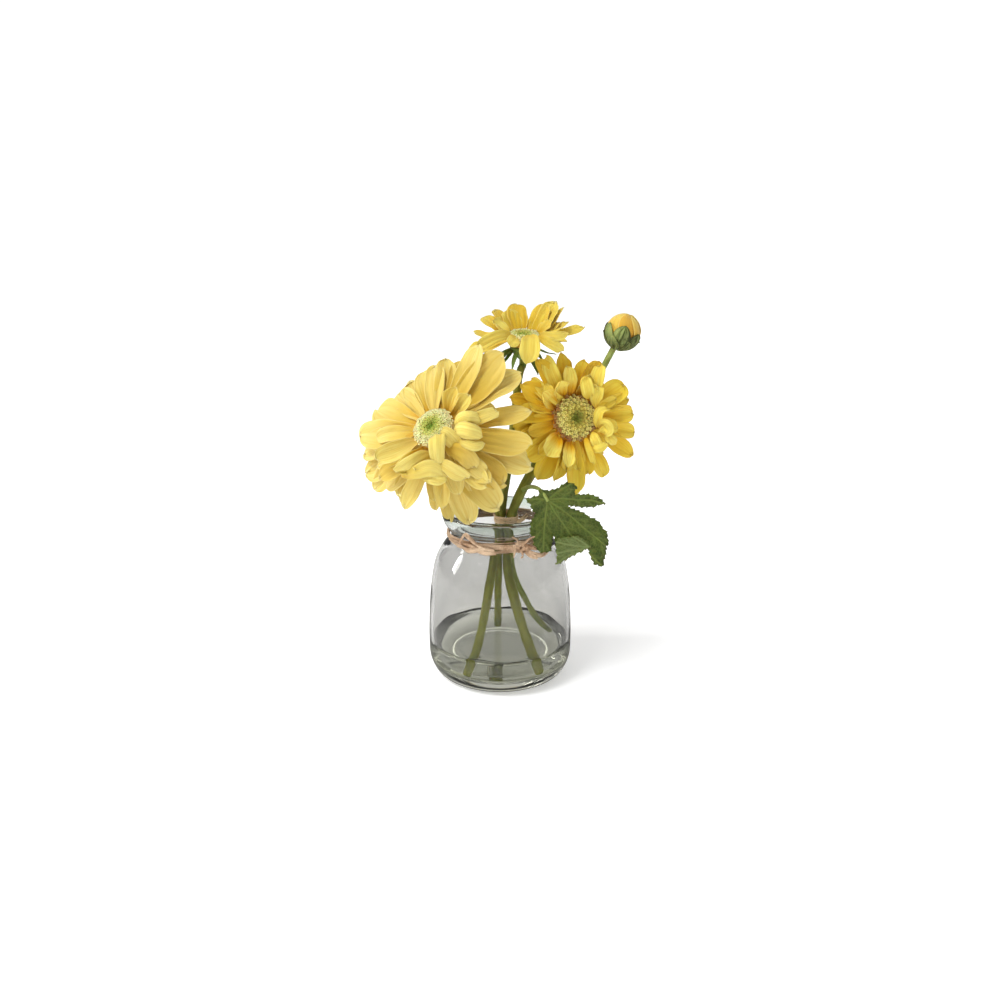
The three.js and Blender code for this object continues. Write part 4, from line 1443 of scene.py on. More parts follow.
FLAP_VEINS = [
    [(23.4, -25.6), (14, -24.2), (5, -22.4)], [(23, -26), (12, -27.4), (5.2, -28.6)],
    [(20, -27.6), (10, -31.2), (5.2, -34.8)], [(22.6, -25.2), (17.6, -21.4), (13.6, -18.8)],
]
MAIN_VEINS = [
    [(0, 0), (8, 0.9), (16, 0.4), (24, 0.2), (31, -1.8)],
    [(0, 0), (7, -4.6), (15, -11), (22, -17), (31, -24)],
    [(0, 0), (5, -8), (12, -18), (20, -26), (29, -35)],
    [(0, 0), (-0.8, -8), (-1.8, -18), (-1.8, -29)],
    [(0, 0), (-5, 0.4), (-11, -0.1)],
    [(0, 0), (5, 4.2), (12.5, 9.2)],
    [(0, 0), (-1.4, 3), (-4, 5.6)],
]


@dataclass(frozen=True)
class Leaf:
    """A lobed leaf hung from a stalk, with one lobe folded over to show its underside.

    spacing is the distance between its points, and tooth and tooth_depth are the length and the
    depth of the teeth round its edge.
    """

    origin: Spot
    finish: LeafFinish
    stalk: Path
    stalk_radius: float = 1.1
    spacing: float = 0.62
    thickness: float = 0.45
    rim: float = 0.14
    tooth: float = 2.9
    tooth_depth: float = 0.85
    vein_gap: float = 2.6

    @staticmethod
    def bend(across: np.ndarray, up: np.ndarray) -> np.ndarray:
        """How far the leaf stands out behind its plane: it arches over and waves."""
        reach = np.hypot(across, up)
        return -0.0016 * reach**2 + 0.9 * np.sin(across * 0.33) * np.sin(up * 0.24) - 0.06 * across

    def folded(self, across: np.ndarray, up: np.ndarray) -> np.ndarray:
        """How far the folded lobe stands out: it comes forwards from the leaf's lower edge."""
        return self.bend(across, up) - 0.5 - 0.22 * np.maximum(0, up + 39.1 - 0.584 * across)

    @staticmethod
    def away(points: np.ndarray, lines: Sequence[Path]) -> np.ndarray:
        """The distance from each point to the nearest of some lines."""
        best = np.full(len(points), 99.0)
        for line in lines:
            knots = np.array(line, float)
            for a, b in zip(knots[:-1], knots[1:]):
                step = b - a
                along = np.clip(((points - a) @ step) / (step @ step), 0, 1)[:, None]
                best = np.minimum(best, np.linalg.norm(points - a - along * step, axis=1))
        return best

    def side_veins(self, mains: Sequence[Path]) -> list[Path]:
        """Veins that leave the main ones forwards, on alternate sides."""
        lines = []
        for vein in mains:
            line = smooth_path([(x, z, 0) for x, z in vein], 40)[:, :2]
            run = float(np.sum(np.linalg.norm(np.diff(line, axis=0), axis=1)))
            for i in range(1, int(run / self.vein_gap)):
                share = i * self.vein_gap / run
                at = int(40 * share)
                way = line[min(at + 1, 40)] - line[at]
                way /= np.linalg.norm(way)
                turn = math.radians(42 if i % 2 else -42)
                aim = np.array([way[0] * math.cos(turn) - way[1] * math.sin(turn),
                                way[0] * math.sin(turn) + way[1] * math.cos(turn)])
                aim *= 6.5 * (1 - 0.6 * share) + 1
                lines.append([line[at], line[at] + aim * 0.55 + way * 0.2, line[at] + aim + way * 1.2])
        return lines

    def toothed(self, outline: Path) -> np.ndarray:
        """The points of an outline with rounded corners and teeth."""
        edge = np.array(outline, float)
        for _ in range(2):
            after = np.roll(edge, -1, 0)
            edge = np.stack([0.78 * edge + 0.22 * after, 0.22 * edge + 0.78 * after], 1).reshape(-1, 2)
        step = self.spacing * 0.62
        cuts = []
        for a, b in zip(edge, np.roll(edge, -1, 0)):
            count = max(1, round(np.linalg.norm(b - a) / step))
            cuts.append(np.linspace(0, 1, count, endpoint=False)[:, None] * (b - a) + a)
        edge = np.vstack(cuts)
        run = np.concatenate([[0], np.cumsum(np.linalg.norm(np.diff(edge, axis=0), axis=1))])
        ahead = np.roll(edge, -1, 0) - np.roll(edge, 1, 0)
        ahead /= np.maximum(np.linalg.norm(ahead, axis=1, keepdims=True), 1e-6)
        area = np.sum(edge[:, 0] * np.roll(edge[:, 1], -1) - edge[:, 1] * np.roll(edge[:, 0], -1))
        outward = np.column_stack([ahead[:, 1], -ahead[:, 0]]) * np.sign(area)
        pace = run / self.tooth + 0.25 * np.sin(run / 5.0)
        return edge + outward * (self.tooth_depth * ((pace % 1) ** 1.4 - 0.45))[:, None]

    def grid(self, outline: Path) -> tuple[np.ndarray, list[list[int]], np.ndarray]:
        """Triangles inside a toothed outline.

        Args:
            outline: the plate's corners.

        Returns:
            The points, the triangles facing down the plane's normal, and the distance to the edge.
        """
        edge = self.toothed(outline)
        low, high = edge.min(0), edge.max(0)
        spots = []
        for j, z in enumerate(np.arange(low[1], high[1], self.spacing * 0.87)):
            starts = np.arange(low[0] + (j % 2) * self.spacing / 2, high[0], self.spacing)
            spots += [(x, z) for x in starts]
        inside = np.array(spots)
        loop = [np.vstack([edge, edge[:1]])]
        inside = inside[self.away(inside, loop) > self.spacing * 0.5]
        count = len(edge)
        made = delaunay_2d_cdt(
            [Vector(p) for p in np.vstack([edge, inside])], [(i, (i + 1) % count) for i in range(count)],
            [list(range(count))], 1, 1e-5,
        )
        points = np.array([tuple(p) for p in made[0]])
        faces = []
        for face in made[2]:
            a, b, c = (points[i] for i in face[:3])
            turn = (b[0] - a[0]) * (c[1] - a[1]) - (b[1] - a[1]) * (c[0] - a[0])
            faces.append(list(face) if turn > 0 else list(reversed(face)))
        return points, faces, self.away(points, loop)

    def plate(self, shells: Shells, outline: Path, bend: Any, under: float, mains: Sequence[Path]) -> None:
        """Adds a closed plate between two bent faces.

        Args:
            shells: where it goes.
            outline: its corners.
            bend: its distance behind the leaf's plane, from across and up.
            under: 1 where the front shows the leaf's underside.
            mains: its main veins.
        """
        points, faces, edge = self.grid(outline)
        x, z = points.T
        main, side = self.away(points, mains), self.away(points, self.side_veins(mains))
        swell = 0.3 * np.sqrt(np.clip(np.minimum(main, side * 1.3) / 2.4, 0, 1)) * np.clip(edge / 1.6, 0, 1)
        lines = np.where(main < 0.5, 0.12, 0.0)
        wave = 0.5 * np.exp(-edge / 2.2) * np.sin(1.1 * x + 0.8 * z)
        middle = bend(x, z) - swell * (1 - 1.6 * under) + lines * (1 - 2 * under) + wave
        half = 0.5 * (self.rim + (self.thickness - self.rim) * np.clip(edge / 0.8, 0, 1))
        both = np.vstack([np.column_stack([x, middle - half, z]), np.column_stack([x, middle + half, z])])
        count = len(points)
        sides = dict.fromkeys((a, b) for face in faces for a, b in zip(face, face[1:] + face[:1]))
        rim = [(a, b) for a, b in sides if (b, a) not in sides]
        back = [[i + count for i in reversed(face)] for face in faces]
        closed = [*faces, *back, *[[b, a, a + count, b + count] for a, b in rim]]
        shells.add(both, closed, main_vein=np.tile(main, 2), side_vein=np.tile(side, 2),
                   under=np.repeat([under, 1 - under], count))

    def build(self, grower: Grower, effects: Effects, green: Material, node: str, slot: str) -> None:
        """Builds the blade with its folded lobe, and the stalk in a stem's green."""
        shells = Shells()
        self.plate(shells, LEAF_OUTLINE, self.bend, 0.0, MAIN_VEINS)
        self.plate(shells, FLAP_OUTLINE, self.folded, 1.0, FLAP_VEINS)
        place(shells.mesh("leaf_fine", Matrix.Translation(Vector(self.origin))), "lobed_leaf", node, slot,
              self.finish.material(effects))
        line = smooth_path(self.stalk, 40)
        size = 2 * self.stalk_radius * MM
        mesh = grower.strands([line], "leaf_stalk_fine", green, girths=[np.linspace(1.15, 0.9, len(line))],
                              Steps=48, Sides=14, Width=size, Thickness=size * 0.85, Crinkle=0.0002)
        place(mesh, "leaf_stalk", node, slot)


# --- jar, water and raffia

JAR_OUTSIDE = [
    (29, 0), (36.8, 2.4), (41.3, 10.5), (42, 22), (41.5, 38), (40.4, 53),
    (37.6, 68.7), (32.6, 78.6), (28.6, 82.8), (28.7, 87), (31.6, 91), (33.2, 95.4),
]
JAR_LIP = [(33.3, 96.6), (32.9, 97.5), (32.2, 98.1), (31.3, 98.4)]
JAR_INSIDE = [
    (30.6, 98.4), (28.6, 96), (26.6, 90.4), (26.2, 84.2), (30, 78.2), (35.4, 68.4),
    (38.4, 55), (39.5, 40), (40, 24), (39.2, 13), (35.5, 8.6), (28, 6.9),
]
JAR_FOOT = [(0, 2.0), (12, 1.8), (19, 1.3), (24, 0.5), (26.5, 0.1), (27.8, 0.0)]
JAR_FLOOR = [(25, 0.1), (21, 0.2), (14, 0.9), (6, 1.2), (0, 1.3)]


@dataclass(frozen=True)
class Jar:
    """A round-shouldered glass jar with a flared lip and a thick foot, holding a little water.

    JAR_FLOOR counts its heights from floor. wall is the jar's inner radius at the water's level,
    and overlap is how far the water reaches into the glass, so that no air shows between them.
    """

    glass: ClearFinish
    water: ClearFinish
    floor: float = 6.6
    level: float = 20.6
    wall: float = 40.0
    segments: int = 144
    overlap: float = 0.22

    def build(self, effects: Effects, stems: Sequence[tuple[np.ndarray, float]]) -> None:
        """Builds the jar and the water.

        Args:
            effects: the shared shader groups.
            stems: the paths and radii of the stems that stand in the water.
        """
        inside = smooth_profile(JAR_INSIDE, 66)
        outside = smooth_profile(JAR_OUTSIDE, 66)
        raised = [(radius, self.floor + height) for radius, height in JAR_FLOOR]
        shells = Shells()
        shells.turn(np.vstack([JAR_FOOT, outside, JAR_LIP, inside, raised]), self.segments)
        place(shells.mesh("jar_fine"), "glass_jar", "jar", "jar_glass", self.glass.material(effects))
        place(self.fill(inside, stems), "still_water", "water", "water", self.water.material(effects))

    def fill(self, inside: np.ndarray, stems: Sequence[tuple[np.ndarray, float]]) -> Mesh:
        """The water, creeping up the glass and the stems where it meets them."""
        wall = inside[inside[:, 1] < self.level - 0.4][::-1] + (self.overlap, -0.1)
        edge = self.wall + self.overlap
        radii = np.concatenate([[edge], np.linspace(edge - 0.35, edge - 3, 9), np.linspace(edge - 4, 1, 52)])
        rings = np.column_stack([radii, self.level + np.exp(-(edge - radii) / 0.8)])
        shells = Shells()
        profile = np.vstack([[0, self.floor - self.overlap], wall, rings, [0, self.level]])
        shells.turn(profile, self.segments)
        points = shells.points[0]
        top = points[:, 2] > self.level - 0.01
        angle = np.arctan2(points[:, 1], points[:, 0])
        creep = 0.5 + 0.5 * np.sin(3 * angle + 0.6) * np.sin(7 * angle + 2)
        from_wall = edge - np.linalg.norm(points[:, :2], axis=1)
        points[:, 2] += np.where(top, 1.7 * creep * np.exp(-from_wall / 1.3), 0)
        for line, radius in stems:
            foot = line[np.argmin(np.abs(line[:, 2] - self.level))]
            gap = np.maximum(0, np.linalg.norm(points[:, :2] - foot[:2], axis=1) - radius)
            points[:, 2] += np.where(top, 0.9 * np.exp(-gap / 0.9), 0)
        return shells.mesh("water_fine")


def winding(
    radius: float, height: float, turns: float, start: float, draw: np.random.Generator, rise: float,
    stray: float, back: float = 0.0,
) -> np.ndarray:
    """A strand wound round the Z axis.

    Args:
        radius: its distance from the axis.
        height: its middle height.
        turns: how many times it goes round.
        start: the angle where it starts, in turns.
        draw: the stream that sets how it strays.
        rise: how much it climbs in each turn.
        stray: how far it strays up and down.
        back: how much higher it lies behind than in front, where it then leans out with the lip.

    Returns:
        Its points.
    """
    turn = np.linspace(0, turns, int(64 * turns) + 1)
    angle = 2 * np.pi * (turn + start)
    a, b, c = draw.uniform(0, 2 * np.pi, 3)
    lift = stray * (np.sin(angle + a) + 0.5 * np.sin(2 * angle + b) + 0.2 * np.sin(7 * angle + c))
    up = height + rise * (turn - turns / 2) + lift + back * np.clip(0.25 + np.sin(angle), 0, 1)
    out = radius + 0.18 * np.sin(3 * angle + b)
    if back:
        out += 0.75 * np.clip(up - 87.5, 0, 6)
    return np.column_stack([out * np.cos(angle), out * np.sin(angle), up])


# Each piece of the band that lies in front: how wide its strands are, and their paths.
BAND_PIECES: dict[str, tuple[float, list[Path]]] = {
    "loop": (2.4, [
        [(-13, -27.8, 85.4), (-16.2, -29.8, 90.2), (-18.4, -30, 92.6), (-20.4, -28.2, 90),
         (-22.4, -24.6, 85.4)],
        [(-18.6, -30, 92.2), (-15, -30.6, 88.4), (-10.4, -31, 85.2), (-6.4, -31, 83.6)],
    ]),
    "fold": (3.2, [
        [(-22.6, -21.4, 84.4), (-18.4, -27, 82.4), (-13, -30.2, 83.2), (-8, -31, 84.2), (-3, -31.4, 83.4)],
        [(-20.4, -25, 86.4), (-14.4, -29, 84.4), (-9, -30.8, 82.2), (-2, -31.2, 81.8)],
    ]),
    "tail": (3.2, [
        [(12.6, -30.4, 85), (17, -31.2, 82.2), (22, -29.6, 80.4), (26.4, -27, 81.6)],
        [(12.6, -30.6, 84), (16.4, -31.4, 80.8), (20.6, -30.4, 79.4)],
        [(13.4, -30.4, 86), (18.4, -30.2, 84.4), (24, -27.6, 84)],
    ]),
    "ends": (1.4, [
        [(10.4, -31, 87), (8.2, -32.2, 83.4), (7.4, -32.8, 79.9)],
        [(11, -31, 84), (12.4, -32.2, 81), (11.4, -32.6, 79.6)],
        [(13, -30.6, 87), (16, -32.4, 90.6), (18.6, -32.8, 92)],
        [(10, -30.6, 87), (8.8, -31.8, 90), (6.4, -32, 91.4)],
    ]),
}


@dataclass(frozen=True)
class Raffia:
    """One tie in flat crinkled strands, laid in bundles with their own turns and thin places."""

    node: str
    finish: Material
    grower: Grower
    draw: np.random.Generator

    def lay(
        self, name: str, paths: list[np.ndarray], width: float, steps: int, twist: float, taper: float = 0.0,
    ) -> None:
        """Lays a bundle of strands along paths as one piece.

        Args:
            name: the piece's name.
            paths: the strands' paths in millimetres.
            width: how wide a strand is.
            steps: points along each strand.
            twist: how far it rolls from flat, in radians.
            taper: how much of its width it loses towards its end.
        """
        girths, leans = [], []
        for path in paths:
            t = np.linspace(0, 1, len(path))
            a, b, c = self.draw.uniform(0, 2 * np.pi, 3)
            turns = len(path) / 24
            leans.append(twist * (np.sin(2.1 * turns * t + a) + 0.6 * np.sin(5.3 * turns * t + b)))
            girths.append((0.86 + 0.22 * np.sin(3.3 * turns * t + c)) * (1 - taper * t**2))
        mesh = self.grower.strands(
            paths, name, self.finish, Sweep.FLAT, girths, leans, Steps=steps, Sides=10, Width=width * MM,
            Thickness=0.32 * MM, Crinkle=0.0007, Crinkle_Scale=1100.0,
        )
        place(mesh, f"{self.node}_{name}", self.node, self.node)

    def tie(self) -> None:
        """The strands round the stems, with the ends that stand out in front."""
        wraps = []
        for i in range(9):
            path = winding(6.9 + 0.3 * (i % 3), 90.6 + 0.62 * i, 1.1, 0.17 * i + 0.3, self.draw, 0.5, 0.6)
            path[:, 0] *= np.where(path[:, 0] < 0, 0.86, 1.0)
            wraps.append(path + (2.9, -0.6, 0))
        self.lay("wraps", wraps, 1.25, 80, 0.3)
        tails = []
        for i in range(5):
            start, middle = (9.6, -5.2, 90.8 + 0.5 * i), (12.2, -6, 92.6 + 0.5 * i)
            tails.append(smooth_path([start, middle, (14.4 + 0.7 * (i % 3), -6.2, 94.4 + 0.8 * i)], 30))
        self.lay("tails", tails, 0.9, 30, 0.2, 0.3)

    def band(self) -> None:
        """The strands round the neck, with their knot, loop, folds and ends."""
        wide = [winding(29.5 + 0.3 * (i % 3), height, 1.05, 0.19 * i + 0.6, self.draw, 0.8, 0.5, 4.2)
                for i, height in enumerate((82.6, 83.9, 85.2, 86.2))]
        self.lay("wraps", wide, 2.3, 170, 0.45)
        thin = [winding(30.1 + 0.25 * (i % 2), height, 1.02, 0.23 * i + 0.2, self.draw, 1.6, 0.9, 3.6)
                for i, height in enumerate((83.4, 84.4, 85.4))]
        self.lay("thin_wraps", thin, 1.2, 170, 0.7)
        knot = []
        for i in range(7):
            angle = np.linspace(0, 2 * np.pi * 1.15, 40) + 1.7 * i
            lean = math.radians(-50 + 38 * i)
            flat_x, flat_z = 4.0 * np.cos(angle), 1.5 * np.sin(angle)
            knot.append(np.column_stack([
                11.4 + flat_x * math.cos(lean) - flat_z * math.sin(lean),
                -30.2 - 1.1 * np.cos(angle * 2 + i) - 0.25 * (i % 3),
                85.0 + 0.72 * (flat_x * math.sin(lean) + flat_z * math.cos(lean)),
            ]))
        self.lay("knot", knot, 1.7, 50, 0.4)
        for name, (width, rough) in BAND_PIECES.items():
            self.lay(name, [smooth_path(path, 36) for path in rough], width, 46, 0.35, 0.35)


# --- studio


@dataclass(frozen=True)
class Studio:
    """A white sweep under a narrow window on the left and a broad soft light, and the camera."""

    lens: float = 28.8
    camera_place: Spot = (0.0, -0.444, 0.217)
    camera_tilt: float = 75.7
    window_place: Spot = (-1.0, -0.02, 0.46)
    window_size: tuple[float, float] = (0.11, 0.42)
    window_power: float = 3.4
    sky_place: Spot = (-0.58, -0.45, 1.0)
    sky_power: float = 2.0
    sky_spread: float = 26.0
    floor_reach: float = 6.0
    floor: Colour = (0.9, 0.9, 0.9, 1.0)
    floor_mirrored: Colour = (0.22, 0.22, 0.2, 1.0)

    def build(self, effects: Effects) -> None:
        """Builds the floor, the world, the lights and the camera."""
        self.sweep(effects)
        self.world()
        window = bpy.data.lights.new("window", "AREA")
        window.shape = "RECTANGLE"
        window.size, window.size_y = self.window_size
        window.energy = self.window_power
        lamp = aimed("window", window, Vector((0, 0, 0.1)) - Vector(self.window_place))
        lamp.location = self.window_place
        sky = bpy.data.lights.new("sky", "SUN")
        sky.energy = self.sky_power
        sky.angle = math.radians(self.sky_spread)
        aimed("sky", sky, -Vector(self.sky_place)).visible_glossy = False
        data = bpy.data.cameras.new("camera")
        data.lens = self.lens
        camera = add_object("camera", data)
        camera.location = self.camera_place
        camera.rotation_euler = (math.radians(self.camera_tilt), 0, 0)
        bpy.context.scene.camera = camera
        bpy.context.scene.view_settings.view_transform = "Standard"

    def sweep(self, effects: Effects) -> None:
        """The floor, very slightly uneven in tone, and darker in the glass's reflections."""
        build = Surface("white_floor", effects)
        dim = tuple(c * 0.985 for c in self.floor[:3]) + (1.0,)
        pale = build.mix(build.noise(build.spot(), 3.0), self.floor, dim)
        seen = self.mirrored(build)
        glow = build.plus(build.remap(seen, 0.0, 1.0, 0.34, 0.1), build.times(self.inside(build), 0.8))
        values = {
            "Base Color": build.mix(seen, pale, self.floor_mirrored),
            "Roughness": 0.9,
            "Specular IOR Level": 0.1,
            "Emission Color": (1, 1, 1, 1),
            "Emission Strength": glow,
        }
        for name, value in values.items():
            build.put(build.shader.inputs[name], value)
        mesh = bpy.data.meshes.new("floor")
        far = self.floor_reach
        mesh.from_pydata([(-far, -far, 0), (far, -far, 0), (far, far, 0), (-far, far, 0)], [], [(0, 1, 2, 3)])
        mesh.materials.append(build.material)
        add_object("floor", mesh)

    def world(self) -> None:
        """White to the camera, and to all else a soft light that is dimmer low on both sides."""
        world = bpy.data.worlds.new("studio")
        world.use_nodes = True
        bpy.context.scene.world = world
        build = Tree(world.node_tree)
        world.node_tree.nodes.clear()
        way = build.out("ShaderNodeTexCoord", output="Generated")
        parts = build.node("ShaderNodeSeparateXYZ", {0: way}).outputs
        high = build.remap(parts["Z"], -0.05, 0.5)
        wide = build.remap(build.math("ABSOLUTE", parts["X"]), 0.35, 0.9)
        shade = build.times(wide, build.minus(1.0, high))
        dull = build.minus(1.0, build.times(self.mirrored(build), 0.6))
        dull = build.plus(dull, build.times(self.inside(build), 1.4))
        glow = build.times(build.minus(0.57, build.times(shade, 0.3)), dull)
        seen = build.times(build.out("ShaderNodeLightPath", output="Is Camera Ray"), 1.05)
        strength = build.math("MAXIMUM", seen, glow)
        lit = build.out("ShaderNodeBackground", {"Color": (1, 1, 1, 1), "Strength": strength})
        build.node("ShaderNodeOutputWorld", {0: lit})

    @staticmethod
    def inside(build: Tree) -> Any:
        """One for light that reaches a surface through glass, and nothing for all else."""
        rays = build.node("ShaderNodeLightPath").outputs
        return build.times(rays["Is Transmission Ray"], build.math("MINIMUM", rays["Diffuse Depth"], 1.0))

    @staticmethod
    def mirrored(build: Tree) -> Any:
        """One for a ray that was just reflected, and nothing for all others."""
        rays = build.node("ShaderNodeLightPath").outputs
        return build.times(rays["Is Glossy Ray"], build.minus(1.0, rays["Is Transmission Ray"]))


# --- the object

LARGE_PETALS: list[Row] = [
    (20, 41, 11, -20, 4), (27, 24, 11, -4, -8), (-2, 41, 15, -22, 6), (-14, 43, 17, -25, 2),
    (-32, 36, 16, -27, 4), (-47, 43, 17, -30, 6), (-68, 43, 15, -28, -2), (-79, 42, 6, -42, 14, -3),
    (-87, 37, 6, -44, 8, -5), (-122, 38, 14, -32, -2), (-144, 45, 13, -28, -4), (-133, 33, 14, -16, -10),
    (-157, 46, 17, -26, -8), (-170, 45, 16, -24, -8), (-180, 43, 17, -18, -10), (170, 38, 16, -20, -10),
    (160, 38, 18, -18, -10), (141, 34, 14, -24, -8), (127, 33, 13, -22, -6), (114, 33, 13, -18, -8),
    (103, 33, 12, -14, -4), (93, 34, 12, -12, 4), (82, 35, 10, -14, 0), (69, 41, 13, -2, 6),
    (54, 43, 19, 2, -6), (43, 45, 16, -8, -2),
]
LARGE_INNER: list[Row] = [
    (62, 16, 9, 38, 4), (42, 18, 9, 32, 8), (-148, 24, 11, 6, 10), (-118, 22, 10, 14, 30),
    (-100, 18, 9, 24, 30),
]
RIGHT_PETALS: list[Row] = [
    (113, 25, 10.6, -8, 0), (94, 25, 9.7, -6, 0), (122, 27, 9.7, 6, 0), (146, 24, 12.3, 4, 4),
    (159, 26, 8.8, -10, 0), (171, 23, 11.4, -12, 0), (185, 23, 11.4, -14, 2), (199, 23, 10.6, -18, 0),
    (215, 24, 12.3, -14, 0), (239, 28, 13.2, -14, 0), (253, 25, 7.9, -12, 0), (271, 32, 11.4, -10, 0),
    (286, 22, 10.6, -10, 0), (300, 31, 8.8, -10, -6, 2), (329, 34, 10.6, -12, 0), (347, 34, 9.7, -10, 0),
    (1, 31, 10.6, -10, 0), (14, 28, 9.7, -10, 0), (26, 28, 14.1, -4, 0), (63, 24, 11.4, 8, 10),
    (78, 21, 8.8, 8, 6),
]
RIGHT_INNER: list[Row] = [
    (74, 16, 9, 34, 20), (60, 15, 7, 50, 20), (100, 17, 10, 24, -10), (120, 16, 10, 30, 30),
    (146, 15, 10, 24, 10), (222, 18, 12, 16, 10), (252, 16, 9, 12, 6),
]
LARGE_FOLDS: list[Fold] = [
    Fold([(4.5, -8, 0.5), (3.5, -5, 7.5), (5, -7.5, 11.5), (5.5, -13, 11), (6, -19.5, 7)],
         [6, 8.4, 8.8, 8, 6.6], 0.22, 0.6, 0.6, 0.12, [0, 0, 8, 14, 22]),
    Fold([(13.5, -9.5, -0.5), (11.5, -6.5, 5.5), (9, -4.5, 8.5), (5.5, -3, 8.5)],
         [5, 8.4, 8.6, 7], 0.15, 0.6, 0.7, 0.18),
    Fold([(7, -9, 2.5), (13, -11, 3), (18.5, -13.5, 2), (23, -18, -2)],
         [6, 8.6, 9.6, 8], 0.2, 0.0, 0.2, 0.14),
    Fold([(12, -11, 0.5), (18, -15.5, -1), (23, -18, -3), (27, -21, -6.5)],
         [6, 9.6, 10, 8.6], 0.15, 0.1, 0.3, 0.14),
    Fold([(4, -18, 5.5), (9.5, -20, 6), (14.5, -22.5, 4.5), (20, -24.5, 0)],
         [3, 7, 8.6, 6.6], 0.2, 0.75, 0.9, 0.03, [0, -8, -16, -30]),
    Fold([(1, -13, 3.5), (-3, -17, 8), (-7.5, -21.5, 10.5), (-14.5, -25.5, 9.5)],
         [4, 7.6, 8.6, 8.4], -0.12, 0.5, 0.6, 0.04, [0, 10, 30, 58]),
    Fold([(-13.5, -26.5, 5.5), (-4.5, -25, 9), (3, -22.5, 9), (10, -25, 2.5)],
         [4.5, 7, 8.4, 3.6], -0.15, 0.5, 0.6, 0.12),
    Fold([(-3, -26.5, 4), (2.5, -27.5, 6), (6.5, -28, 5), (10, -26.5, 3)],
         [3, 5, 5, 3], -0.12, 1.0, 0.8, 0.08),
    Fold([(12, -0.5, 3.5), (16.5, 3, 9.5), (21, 4, 10.5), (25, 4.5, 6)],
         [4.5, 7.4, 7.6, 6], -0.45, 0.75, 0.6, 0.22),
    Fold([(11, -3, 3.5), (16, -2.5, 9), (21.5, -3.5, 10), (26.5, -3.5, 4.5)],
         [4.5, 8.4, 9.4, 7.4], -0.5, 1.0, 0.8, 0.22),
    Fold([(14, -5.5, 3.5), (19, -8, 5.5), (24, -9, 5), (27.5, -6.5, 2)], [3, 4.6, 5, 4], -0.3, 1.0, 0.8, 0.2),
    Fold([(17.5, 4, 2.5), (23.5, 5.5, 6), (28.5, 7.5, 6.5), (33, 10, 4.5)],
         [4.5, 6.6, 6.6, 5.6], 0.15, 0.5, 0.7, 0.1),
]
RIGHT_FOLDS: list[Fold] = [
    Fold([(9.5, 7, 4.5), (8, 10.5, 6.5), (7.5, 13.5, 7.5), (7.5, 16.5, 7)],
         [3.6, 4.6, 4, 3], 0.1, 1.0, 0.8, 0.1, [78, 80, 80, 80]),
    Fold([(13, 4, 4), (11, 8.5, 6.5), (11.5, 12, 8.5), (12.5, 16, 9)],
         [2.2, 4.6, 6, 6], 0.3, 0.55, 0.6, 0.08),
    Fold([(12.5, -6, 4), (11, -1, 8), (12, 2.5, 9.5), (16.5, 3.5, 10)],
         [3.6, 4.6, 5.4, 4.4], 0.6, 1.0, 0.9, 0.06, [0, 10, 30, 50]),
    Fold([(14, -7, 4), (13, -4, 8.5), (15, -5, 11), (16.5, -8.5, 10), (15, -10.5, 8)],
         [4, 5, 5.4, 5, 4.6], -0.2, 0.9, 0.7, 0.15, [0, 10, 30, 40, 30]),
    Fold([(14, -10, 4.5), (14, -8, 8), (16, -6.5, 8.5)], [4, 5, 4], 0.3, 0.6, 0.5, 0.1),
    Fold([(16, -10, 4.5), (17.5, -12.5, 7.5), (19, -14, 8), (21.5, -16, 7)],
         [3.4, 5.4, 5.6, 4.6], -0.4, 1.0, 0.8, 0.2),
    Fold([(9, -8.5, 3.5), (9, -12, 6), (9.5, -14, 6.5), (10.5, -16.5, 6)],
         [3, 5, 6, 6.4], -0.2, 0.9, 0.8, 0.06),
    Fold([(7.5, -17.5, 3), (9, -18, 6.5), (11.5, -17.5, 7.5), (15.5, -15.5, 7.5)],
         [2.4, 4.6, 5.2, 3.4], -0.4, 1.0, 0.9, 0.1),
    Fold([(4.5, -11.5, 4), (5, -16, 5), (6.5, -21, 5), (8.5, -26, 4)],
         [2.8, 3.6, 4, 3.4], 0.3, 0.4, 0.5, 0.12),
    Fold([(-4, 11.5, -2.5), (-10.5, 18.5, 1.5), (-14, 26, 3), (-15, 34.5, 2)],
         [5, 8.6, 9.4, 6], 0.2, 0.8, 0.8, 0.2),
    Fold([(-8, 8.5, -4), (-15.5, 13.5, 0), (-20.5, 18.5, 0), (-23, 23, -2)],
         [5, 7.6, 7.6, 5], 0.25, 0.7, 0.8, 0.12),
    Fold([(-4, 9, -1), (-11, 11, 2), (-15.5, 15.5, 3.5), (-15.5, 19.5, 2.5)],
         [4, 6, 6, 5], 0.5, 0.5, 0.6, 0.2, [0, 10, 25, 35]),
    Fold([(8, 10, 4), (5.5, 14, 8.5), (4, 18.5, 10), (4, 22, 9.5)],
         [4.6, 6.8, 7.2, 5.4], 0.3, 0.9, 0.8, 0.22),
    Fold([(12, 13, 4), (11, 18, 8), (11.5, 23, 10), (13.5, 27.5, 10)], [4.6, 7.6, 8, 6], 0.25, 0.8, 0.8, 0.1),
    Fold([(-7, -8.5, -4.5), (-11, -12, -3), (-13, -15.5, -4), (-13.5, -18.5, -6.5)],
         [4, 7, 7.6, 6], 0.35, 0.5, 0.5, 0.2),
]
